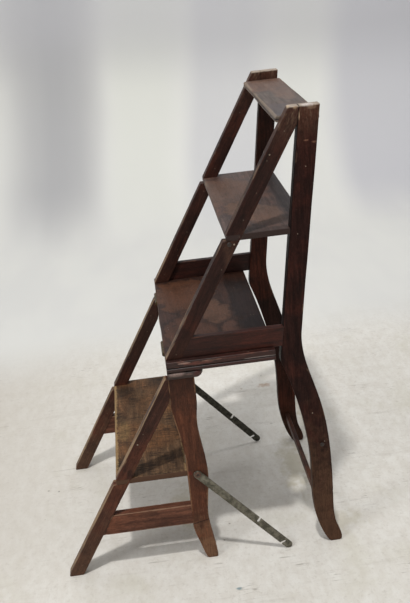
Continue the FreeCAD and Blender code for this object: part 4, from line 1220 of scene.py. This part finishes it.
def treadBoard(name, top, front, back, half, seed, **more):
    # A tread's front is round above and below
    path = crossPath(-half, half, front, back, top - layout["treadThickness"], top)
    return board(name, path, seed=seed, **tread["worked"], **more)


def makeTreads():
    half = outerX - tread["setback"]
    lower, middle, top = layout["lowerTread"], layout["middleTread"], layout["topTread"]
    piece = treadBoard("lower_tread_wood", lower, lambda x: lowerFront(lower),
                       lambda x: leg["shin"] + tread["intoLeg"], half, 81)
    dress(piece, "base_half", "lower_tread", woodMaterials["lowerTread"], "lower_tread")

    # Between the posts the middle tread runs on to their backs
    between = innerX + tread["sideGap"]
    piece = treadBoard("middle_tread_wood", middle, lambda x: upperFront(middle),
                       lambda x: np.where(np.abs(x) > between,
                                          straightFront(middle) + tread["intoPost"],
                                          straightBack(middle) + tread["pastPost"]),
                       half, 82, kinks=kinksOf((-between, between), -half, half))
    dress(piece, "upper_half", "middle_tread", woodMaterials["middleTread"], "middle_tread")

    piece = treadBoard("top_tread_wood", top, lambda x: upperFront(top) - tread["topNose"],
                       lambda x: straightBack(top) + tread["topTail"],
                       innerX - tread["topClearance"], 83, groove=tread["groove"])
    dress(piece, "upper_half", "top_tread", woodMaterials["topTread"], "top_tread")


makeTreads()

# Hinged seat board: a moulding hangs below each end, with a bead, a quirk and a band

seat = {"depth": 203.0, "height": 13.0, "lip": 200.5, "drop": 9.0, "quirk": 1.2, "round": 1.6,
        "soft": 0.5, "closeSteps": (0.0, 0.05, 0.15, 0.3, 0.5, 3.0), "evenFrom": 8.0,
        "evenSteps": 16, "uneven": 0.1, "undercut": 0.25}


def seatSection():
    # Half section as (x, z, outward x, outward z, arris distance, hollow), then mirrored
    half, drop, quirk, top = layout["seatHalf"], seat["drop"], seat["quirk"], seat["height"]
    radius, soft, far = drop / 2, seat["round"], farFromArris
    rows = [(share * seat["lip"], 0.0, 0.0, -1.0, far, 0.0) for share in (0.02, 0.5, 0.9, 0.99)]
    rows += [(seat["lip"], 0.0, -0.7, -0.7, far, 0.5), (seat["lip"], 0.5 - drop, -1, 0, 2, 0),
             (seat["lip"] + 0.5, -drop, -0.3, -0.9, 0.5, 0)]
    # The bead's outermost line counts as close to an arris, so that the arris mark paints a
    # highlight along it; its upper part, under the quirk, is marked as hollow and painted dark as
    # shade
    turn = np.linspace(-math.pi / 2, math.pi / 2, 13)
    bead = np.stack([half - radius + radius * np.cos(turn), radius * np.sin(turn) - radius,
                     np.cos(turn), np.sin(turn), 1.0 + np.abs(np.sin(turn)) * 4,
                     np.where(turn > 1.0, 0.8, 0.0)], 1)
    inner = half - radius
    groove = [(inner - 0.2, quirk * 0.5, 1, 0, far, 1), (inner, quirk, 0.5, -0.5, far, 1),
              (half - quirk - 0.5, quirk, 0, -1, 3, 0.4)]
    band = [(half - quirk, quirk + 0.5, 1, 0, 0.6, 0), (half - quirk, top * 0.55, 1, 0, 4, 0),
            (half - quirk, top - soft - 0.4, 1, 0, 1.2, 0)]
    bend = np.linspace(0.0, math.pi / 2, 5)
    crown = np.stack([half - quirk - soft + soft * np.cos(bend), top - soft + soft * np.sin(bend),
                      np.cos(bend), np.sin(bend), 0 * bend + 0.2, 0 * bend], 1)
    shares = (0.97, 0.93, 0.8, 0.6, 0.4, 0.2, 0.02)
    flat = [(share * half, top, 0.0, 1.0, far, 0.0) for share in shares]
    right = np.vstack([rows, bead, groove, band, crown, flat])
    left = right[::-1] * np.array([-1.0, 1.0, -1.0, 1.0, 1.0, 1.0])
    return np.vstack([right, left])


def makeSeatBoard():
    # The section carried from front to back, shrinking along a quarter circle at both ends
    sectionX, sectionZ, wayX, wayZ, apart, hollow = seatSection().T
    depth, soft = seat["depth"] - layout["boardFront"], seat["soft"]
    close = np.array(seat["closeSteps"])
    even = np.linspace(seat["evenFrom"], depth - seat["evenFrom"], seat["evenSteps"])
    steps = np.unique(np.concatenate([close, even, depth - close]))
    fromEnd = np.minimum(steps, depth - steps)
    shrink = soft - np.sqrt(soft**2 - np.maximum(soft - fromEnd, 0.0)**2)
    shrink = shrink[:, None] * np.where(hollow > 0.3, seat["undercut"], 1.0)
    x = sectionX - wayX * shrink
    z = sectionZ - wayZ * shrink + layout["boardBottom"]
    y = steps[:, None] + layout["boardFront"] + 0 * x
    lattice = np.stack([x, y, z], -1)
    lift = (unevenness(lattice, 91) - 0.9) * seat["uneven"]
    lattice[..., 2] += np.where((wayZ > 0.5) & (hollow == 0), lift, 0.0)
    apart = np.minimum(apart, fromEnd[:, None] + 0.5)
    piece = closedSurface("seat_board_wood", lattice, apart, hollow=hollow + 0 * apart)
    dress(piece, "upper_half", "seat_board", woodMaterials["seatBoard"], "seat_board")


makeSeatBoard()

# Fixed front of the seat: its plan shrinks along quarter circles, under and over, and a rebate
# along each end makes room for the moulding

strip = {"depth": 67.0, "corner": 14.0, "under": 14.0, "over": 6.0, "rebateSide": 199.5,
         "rebateFoot": 440.15, "shoulder": 3.5, "rearEase": 0.6, "leastCorner": 0.3,
         "hollowFrom": 198.0}


def stripPlan(half, depth, corner, rear):
    # Outline in plan: right end, round corner, front edge, the same mirrored, rear edge
    turn = np.linspace(0.0, math.pi / 2, 9)
    ends = np.linspace(0.0, 1.0, 6)[:-1]
    across = np.linspace(1.0, -1.0, 22)[1:-1]
    right = np.stack([half + 0 * ends, rear + (depth - corner - rear) * ends], 1)
    arc = np.stack([half - corner + corner * np.cos(turn),
                    depth - corner + corner * np.sin(turn)], 1)
    front = np.stack([(half - corner) * across, depth + 0 * across], 1)
    back = np.stack([-(half - 4.0) * across, rear + 0 * across], 1)
    mirrored = np.array([-1.0, 1.0])
    return np.concatenate([right, arc, front, (arc * mirrored)[::-1], (right * mirrored)[::-1],
                           back])


def stripRings():
    # Each ring as (z, end inset, front inset, corner, arris distance, hollow)
    low, high, foot = layout["stripBottom"], layout["stripTop"], strip["rebateFoot"]
    under, over, soft = strip["under"], strip["over"], strip["shoulder"]
    step, far = layout["seatHalf"] - strip["rebateSide"], farFromArris
    rings = []
    for t in np.linspace(0.0, math.pi / 2, 10):
        inset = under * (1 - math.sin(t))
        rings.append((low + under * (1 - math.cos(t)), inset, inset, strip["corner"] - inset,
                      4.0, 0.0))
    for t in np.linspace(0.0, math.pi / 2, 6):
        inset = soft * (1 - math.cos(t))
        rings.append((foot - soft + soft * math.sin(t), inset, 0.0, strip["corner"] - inset,
                      1.0, 0.0))
    # The rebate's foot is marked as hollow, painted dark as shade
    rings.append((foot, step - 0.6, 0.0, 1.6, far, 0.6))
    rings.append((foot + 0.4, step, 0.0, 1.5, far, 1.0))
    for t in np.linspace(0.0, math.pi / 2, 8):
        inset = over * (1 - math.cos(t))
        rings.append((high - over + over * math.sin(t), step + inset * 0.2, inset, 1.5 - inset,
                      4.0, 0.0))
    return rings


def makeSeatFront():
    # Plans of the strip stacked from its under side to its top
    lattice, worn, hollows = [], [], []
    for z, endInset, frontInset, corner, apart, hollow in stripRings():
        lowest = z < layout["stripBottom"] + 0.3
        rear = layout["boardFront"] + (strip["rearEase"] if lowest else 0.0)
        outline = stripPlan(layout["seatHalf"] - endInset, strip["depth"] - frontInset,
                            max(corner, strip["leastCorner"]), rear)
        lattice.append(np.concatenate([outline, np.full((len(outline), 1), z)], 1))
        worn.append(np.full(len(outline), apart))
        hollows.append(np.where(np.abs(outline[:, 0]) > strip["hollowFrom"], hollow, 0.0))
    piece = closedSurface("seat_front_wood", np.array(lattice), np.array(worn),
                          hollow=np.array(hollows))
    dress(piece, "base_half", "seat_front", woodMaterials["seatFront"], "seat_front")


makeSeatFront()
print("stage: woodwork made")

# Stays and hinges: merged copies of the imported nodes, with their edges rounded

softening = {"merge": 1e-6, "flat": 1.0, "edge": 40.0, "sharp": 35.0, "segments": 2}
stay = {"round": 0.0004}
hinge = {"round": 0.0003, "proud": 0.00012, "knuckle": 0.0046, "skin": 0.0002}


def softened(node, newName, width):
    # The copy's flat faces are joined before its edges are bevelled
    piece = linked(newName, frame["nodes"][node].data.copy())
    weld = piece.modifiers.new("weld", "WELD")
    weld.merge_threshold = softening["merge"]
    flatten = piece.modifiers.new("flatten", "DECIMATE")
    flatten.decimate_type = "DISSOLVE"
    flatten.angle_limit = math.radians(softening["flat"])
    bevel = piece.modifiers.new("bevel", "BEVEL")
    bevel.width = width
    bevel.segments = softening["segments"]
    bevel.limit_method = "ANGLE"
    bevel.angle_limit = math.radians(softening["edge"])
    bevel.harden_normals = False
    bpy.context.view_layer.update()
    shaped = bpy.data.meshes.new_from_object(
        piece.evaluated_get(bpy.context.evaluated_depsgraph_get()))
    piece.modifiers.clear()
    piece.data = shaped
    shaped.polygons.foreach_set("use_smooth", np.ones(len(shaped.polygons), bool))
    shaped.set_sharp_from_angle(angle=math.radians(softening["sharp"]))
    return piece


def raiseLeaf(mesh, rise):
    # The leaf's face stands a hair proud of the wood that it is let into
    corners = np.empty(len(mesh.vertices) * 3)
    mesh.vertices.foreach_get("co", corners)
    corners = corners.reshape(-1, 3)
    face = np.abs(corners[:, 1] - foldPlace) > hinge["knuckle"]
    face &= np.abs(corners[:, 2] - layout["fold"] * 0.001) < hinge["skin"]
    corners[face, 2] += rise
    mesh.vertices.foreach_set("co", corners.ravel())
    mesh.update()


def makeStays():
    for side, sign in sideNames:
        piece = softened("stay_" + side, "stay_bar_" + side, stay["round"])
        # The far stay takes the darker copy of the steel, which is painted shade
        steel = metalMaterials["staySteel" if sign > 0 else "oldSteel"]
        dress(piece, side + "_stay", "stay", steel, "stay_" + side)


def makeHinges():
    proud, brass = hinge["proud"], metalMaterials["hingeBrass"]
    for side, _ in sideNames:
        for kind, body, rise in (("fixed", "base_half", proud), ("moving", "upper_half", -proud)):
            node = "hinge_leaf_" + kind + "_" + side
            piece = softened(node, "hinge_" + kind + "_" + side, hinge["round"])
            raiseLeaf(piece.data, rise)
            dress(piece, body, "hinge_metal", brass, node)
    pins = frame["nodes"]["hinge_pins"].data.materials
    pins.clear()
    pins.append(brass)


makeStays()
makeHinges()

# Screws and studs, turned

# Places are y and z, and heights start from the wood's face
screw = {"pivot": (36.0, 208.0), "pivotHead": 6.8, "pivotShank": 3.0, "dimple": 2.4,
         "postStud": (283.94, 240.0), "stringerStud": (135.16, 675.0), "studHead": 4.2,
         "studShank": 2.4, "sink": 12.0, "outer": 3.6, "thickness": 2.2, "dome": 0.8}


def headProfile(head, shank):
    # Dome, rim, underside and shank of a screw, as radius and height from the wood's face
    turn = np.linspace(0.02, math.pi / 2, 14)
    top = screw["outer"] + screw["thickness"]
    rise = screw["thickness"] * screw["dome"]
    dome = np.stack([head * np.sin(turn), top - rise + rise * np.cos(turn)], 1)
    return np.vstack([dome, [(head, screw["outer"] + 0.15), (head - 0.2, screw["outer"]),
                             (shank, screw["outer"]), (shank, -screw["sink"]),
                             (0.05, -screw["sink"])]])


def makeScrews(name, place, profile, metal, body, node, dimple=0.0):
    for side, sign in sideNames:
        piece = lathe(name + "_" + side, (sign * outerX, *place), profile, side=sign,
                      dimple=dimple)
        dress(piece, body, "screw_metal", metalMaterials[metal], node)


studProfile = headProfile(screw["studHead"], screw["studShank"])
makeScrews("pivot_screw", screw["pivot"], headProfile(screw["pivotHead"], screw["pivotShank"]),
           "screwSteel", "base_half", "stay_pivot_screws", screw["dimple"])
makeScrews("post_stud", screw["postStud"], studProfile, "studIron", "upper_half", "post_studs")
makeScrews("stringer_stud", screw["stringerStud"], studProfile, "studIron", "upper_half",
           "stringer_studs")

# Pale heads of filled nails on the near side's outer face: y, z and radius of each

nails = {
    "upper_half": ((215.8, 823.9, 1.3), (276.1, 797.0, 0.9), (256.8, 677.8, 0.8),
                   (268.4, 311.3, 1.2), (289.8, 244.4, 1.0), (144.0, 672.5, 1.7)),
    "base_half": ((-72.1, 291.7, 1.5),),
}
nailSlots = {"upper_half": "back_post", "base_half": "lower_stringer"}


def nailProfile(radius):
    # A low dome and a short shank
    return [(0.03, 0.28), (radius * 0.5, 0.25), (radius * 0.85, 0.16), (radius, 0.0),
            (radius, -1.5), (0.03, -1.5)]


def makeNails():
    filler = woodMaterial("nailFiller", woodLook(
        deep=(120, 104, 90), main=(170, 156, 140), warm=(150, 128, 104), grime=0.5,
        specks=0.0, shift=(0.2, 0.2, 0.2)))
    for body, rows in nails.items():
        for number, (y, z, radius) in enumerate(rows):
            piece = lathe("nail_%s_%d" % (body, number), (outerX, y, z), nailProfile(radius), 20)
            dress(piece, body, nailSlots[body], filler)


makeNails()
print("stage: metalwork made")

# Studio: floor, light and camera

room = {"near": 5.0, "bend": -1.7, "radius": 0.7, "wall": 5.5, "half": 9.0}


def makeFloor():
    # A sheet that is level under the object and curves up behind it: x falls away from the
    # camera, z follows a quarter circle and then a wall
    level = np.linspace(room["near"], room["bend"], 40)
    turn = np.linspace(0.0, math.pi / 2, 26)[1:]
    bendX = room["bend"] - room["radius"] * np.sin(turn)
    bendZ = room["radius"] * (1 - np.cos(turn))
    wallZ = np.linspace(room["radius"], room["wall"], 12)[1:]
    lineX = np.concatenate([level, bendX, 0 * wallZ + bendX[-1]])
    lineZ = np.concatenate([0 * level, bendZ, wallZ])
    across = np.linspace(-room["half"], room["half"], 40)
    grid = np.stack([lineX[:, None] + 0 * across, across + 0 * lineX[:, None],
                     lineZ[:, None] + 0 * across], -1)
    rows, columns = grid.shape[:2]
    index = np.arange(rows * columns).reshape(rows, columns)
    quads = np.stack([index[:-1, :-1], index[1:, :-1], index[1:, 1:], index[:-1, 1:]],
                     -1).reshape(-1, 4)
    mesh = bpy.data.meshes.new("studioFloor")
    mesh.from_pydata(grid.reshape(-1, 3).tolist(), [], quads[:, ::-1].tolist())
    mesh.polygons.foreach_set("use_smooth", np.ones(len(mesh.polygons), bool))
    mesh.update()
    return linked("studioFloor", mesh)


floorStains = (  # centre, stretch, reach, strength and colour of each
    ((-0.475, 0.235, 0.0), (1.0, 0.8, 1.0), 0.016, 0.7, (168, 130, 100)),
    ((-0.47, 0.168, 0.0), (1.0, 1.0, 1.0), 0.006, 0.5, (140, 118, 96)),
    ((-0.30, 0.31, 0.0), (0.35, 1.0, 1.0), 0.035, 0.5, (190, 182, 158)),
    ((-0.08, 0.24, 0.0), (0.3, 1.0, 1.0), 0.045, 0.5, (182, 174, 146)),
    ((0.03, -0.03, 0.0), (0.35, 1.0, 1.0), 0.040, 0.45, (178, 170, 142)),
    ((0.14, 0.30, 0.0), (1.0, 0.7, 1.0), 0.045, 0.35, (186, 178, 150)),
    ((-0.10, -0.32, 0.0), (1.0, 1.0, 1.0), 0.005, 0.8, (96, 92, 84)),
    ((0.30, 0.05, 0.0), (1.0, 0.6, 1.0), 0.005, 0.8, (104, 132, 138)),
    ((0.36, 0.42, 0.0), (1.0, 0.6, 1.0), 0.007, 0.4, (206, 168, 136)),
)
paints = {
    "pale": (225, 223, 217), "sand": (213, 209, 201), "dust": (186, 180, 170),
    "olive": (196, 192, 174), "line": (138, 130, 120), "speck": (120, 112, 100),
    "wall": (217, 217, 213), "fold": (158, 158, 161), "dusk": (190, 190, 194),
    "bright": (211, 212, 206), "corner": (176, 176, 181),
}
foldLightAndShade = (  # Painted light and shade of cloth folds on the flat wall: y where a fold starts, is full, is full until and ends; its strength and paint
    (-0.72, -0.44, -0.30, -0.10, 0.75, "fold"),
    (-0.46, -0.40, -0.36, -0.28, 0.3, "fold"),
    (-0.20, -0.06, 0.08, 0.26, 0.85, "bright"),
    (0.18, 0.30, 0.50, 0.68, 0.65, "dusk"),
    (0.60, 0.70, 0.78, 0.90, 0.45, "bright"),
    (0.82, 1.0, 4.0, 5.0, 1.0, "dusk"),
    (-6.0, -5.0, -0.9, -0.62, 0.8, "dusk"),
)


def paintedFloor(w, place, parts):
    # Painted canvas: fine mottling, olive patches, level scratches, dust, painted shade towards the
    # left, and stains
    mottle = w.noise(w.place(place, scale=(0.6, 1.0, 1.0)), 40.0, 6.0, 0.72)
    paint = w.mix(w.remap(mottle, 0.3, 0.7), paints["sand"], paints["pale"])
    patches = w.noise(w.place(place, (4.0, 2.0, 0.0)), 5.5, 5.0, 0.66)
    paint = w.mix(w.remap(patches, 0.5, 0.72, 0.0, 0.4), paint, paints["olive"])
    fine = w.noise(place, 95.0, 4.0, 0.72)
    paint = w.mix(w.remap(fine, 0.5, 0.75, 0.0, 0.5), paint, paints["dust"])
    scuffs = w.noise(w.place(place, rotation=(0, 0, 0.12), scale=(1.0, 0.16, 1.0)), 26.0, 6.0, 0.7)
    paint = w.mix(w.remap(scuffs, 0.54, 0.74, 0.0, 0.4), paint, paints["dust"])
    lines = w.centred(w.place(place, rotation=(0, 0, -0.1), scale=(1.0, 0.045, 1.0)), 60.0, 2.0,
                      0.55, 0.25)
    broken = w.remap(w.noise(w.place(place, (2.0, 1.0, 0.0)), 9.0, 4.0, 0.65), 0.54, 0.64)
    scratches = w.times(w.remap(w.absolute(lines), 0.010, 0.003), broken)
    paint = w.mix(w.times(scratches, 0.55), paint, paints["line"])
    # Painted shade: the floor darker towards the left and the far side
    shadeToLeft = w.times(w.remap(parts[1], 0.1, -0.7), w.remap(parts[0], 0.5, 0.0, 0.0, 0.65))
    paint = w.mix(shadeToLeft, paint, paints["dust"])
    specks = w.dots(place, 19.0, (0.86, 0.88), (0.06, 0.03))
    paint = w.mix(w.times(specks, 0.6), paint, paints["speck"])
    clouded = w.centred(place, 40.0, 4.0, 0.65)
    for centre, stretch, reach, strength, colour in floorStains:
        gap = w.plus(w.away(place, centre, stretch), w.times(clouded, reach * 2.2))
        paint = w.mix(w.remap(gap, reach, reach * 0.2, 0.0, strength), paint, colour)
    return paint


def paintedWall(w, place, parts, wobble):
    # Smooth paint with the painted light and shade of soft folds that lean, and painted shade at
    # the top
    rise = w.plus(parts[2], w.calc("MAXIMUM", w.minus(-1.5, parts[0]), 0.0))
    rise = w.plus(rise, w.times(parts[1], 0.1))
    slant = w.minus(parts[1], w.times(w.minus(parts[2], 0.5), 0.1))
    slant = w.plus(slant, w.times(wobble, 0.12))
    # Soft painted shade over the whole wall
    soft = w.noise(w.place(place, scale=(0.4, 1.0, 0.3)), 5.0, 2.0, 0.5)
    paint = w.mix(w.remap(soft, 0.35, 0.65, 0.0, 0.15), paints["wall"], paints["dusk"])
    hung = w.remap(w.plus(rise, w.times(wobble, 0.5)), 0.1, 0.8)
    for start, full, hold, end, strength, name in foldLightAndShade:
        amount = w.times(w.remap(slant, start, full), w.remap(slant, end, hold))
        amount = w.times(w.times(amount, hung), strength)
        paint = w.mix(amount, paint, paints[name])
    # Painted shade higher up the wall
    return w.mix(w.remap(rise, 1.35, 1.75, 0.0, 0.6), paint, paints["corner"])


def floorMaterial():
    # The floor's paint near the object, the wall's beyond it
    material, w, place = newMaterial("studioPaint")
    parts = w.parts(place)
    wobble = w.centred(w.place(place, scale=(0.2, 1.0, 0.35)), 2.2, 3.0, 0.5)
    near = w.remap(w.plus(parts[0], w.times(wobble, 0.3)), -1.0, -0.62)
    colour = w.mix(near, paintedWall(w, place, parts, wobble), paintedFloor(w, place, parts))
    closeMaterial(w, {"Base Color": colour, "Roughness": 0.75, "Specular IOR Level": 0.25})
    return material


floor = makeFloor()
floor.data.materials.append(floorMaterial())

sky = {"colour": (1.0, 0.985, 0.955, 1.0), "strength": 0.46}
world = bpy.data.worlds.new("studioAir")
bpy.context.scene.world = world
world.use_nodes = True
air = world.node_tree.nodes["Background"].inputs
air["Color"].default_value = sky["colour"]
air["Strength"].default_value = sky["strength"]


def facing(look, roll=0.0):
    # Sideways, upward and backward directions of a lamp or camera that looks along a line
    side = np.cross(look, (0.0, 0.0, 1.0))
    side /= np.linalg.norm(side)
    up = np.cross(side, look)
    return (side * math.cos(roll) + up * math.sin(roll),
            up * math.cos(roll) - side * math.sin(roll), -look)


def aimed(holder, place, look, roll=0.0):
    # Puts a lamp or the camera at its place and turns it
    matrix = np.eye(4)
    for column, way in enumerate((*facing(look, roll), place)):
        matrix[:3, column] = way
    holder.matrix_world = Matrix(matrix.tolist())


def softBox(name, place, aim, size, power, colour):
    # A rectangular lamp that looks from its place towards aim
    light = bpy.data.lights.new(name, "AREA")
    light.shape = "RECTANGLE"
    light.size, light.size_y = size
    light.energy = power
    light.color = colour
    look = np.array(aim, float) - np.array(place, float)
    aimed(linked(name, light), place, look / np.linalg.norm(look))


lamps = {  # place, aim, size, power and colour of each
    "keyBox": ((1.68, -0.3, 5.0), (0.0, 0.0, 0.4), (0.2, 0.2), 116.0, (1.0, 0.985, 0.965)),
    "sideBox": ((1.6, -2.0, 2.4), (0.0, 0.1, 0.4), (0.8, 0.8), 26.0, (0.98, 0.985, 1.0)),
    "wallBox": ((-0.9, 0.6, 3.1), (-2.4, 0.4, 2.1), (2.4, 0.8), 34.0, (0.98, 0.99, 1.0)),
}
for name, settings in lamps.items():
    softBox(name, *settings)

camera = {
    "place": (1605.2, -10.5, 1192.3), "azimuth": 87.27, "elevation": 23.71, "roll": -6.06,
    "focalPixels": 860.0, "centre": (-15.1, 0.5), "tallPixels": 603.0, "sensor": 24.0,
}


def makeCamera():
    # Azimuth and elevation give the way it looks; roll turns the picture
    yaw, pitch, roll = (math.radians(camera[key]) for key in ("azimuth", "elevation", "roll"))
    look = np.array([-math.cos(pitch) * math.sin(yaw), math.cos(pitch) * math.cos(yaw),
                     -math.sin(pitch)])
    data = bpy.data.cameras.new("photoCamera")
    holder = linked("photoCamera", data)
    aimed(holder, metres(camera["place"]), look, roll)
    tall = camera["tallPixels"]
    data.sensor_fit = "VERTICAL"
    data.sensor_height = camera["sensor"]
    data.lens = camera["focalPixels"] * camera["sensor"] / tall
    data.shift_x = -camera["centre"][0] / tall
    data.shift_y = camera["centre"][1] / tall
    data.clip_end = 60.0
    bpy.context.scene.camera = holder


makeCamera()
bpy.context.scene.view_settings.view_transform = "Standard"
print("stage: studio made")
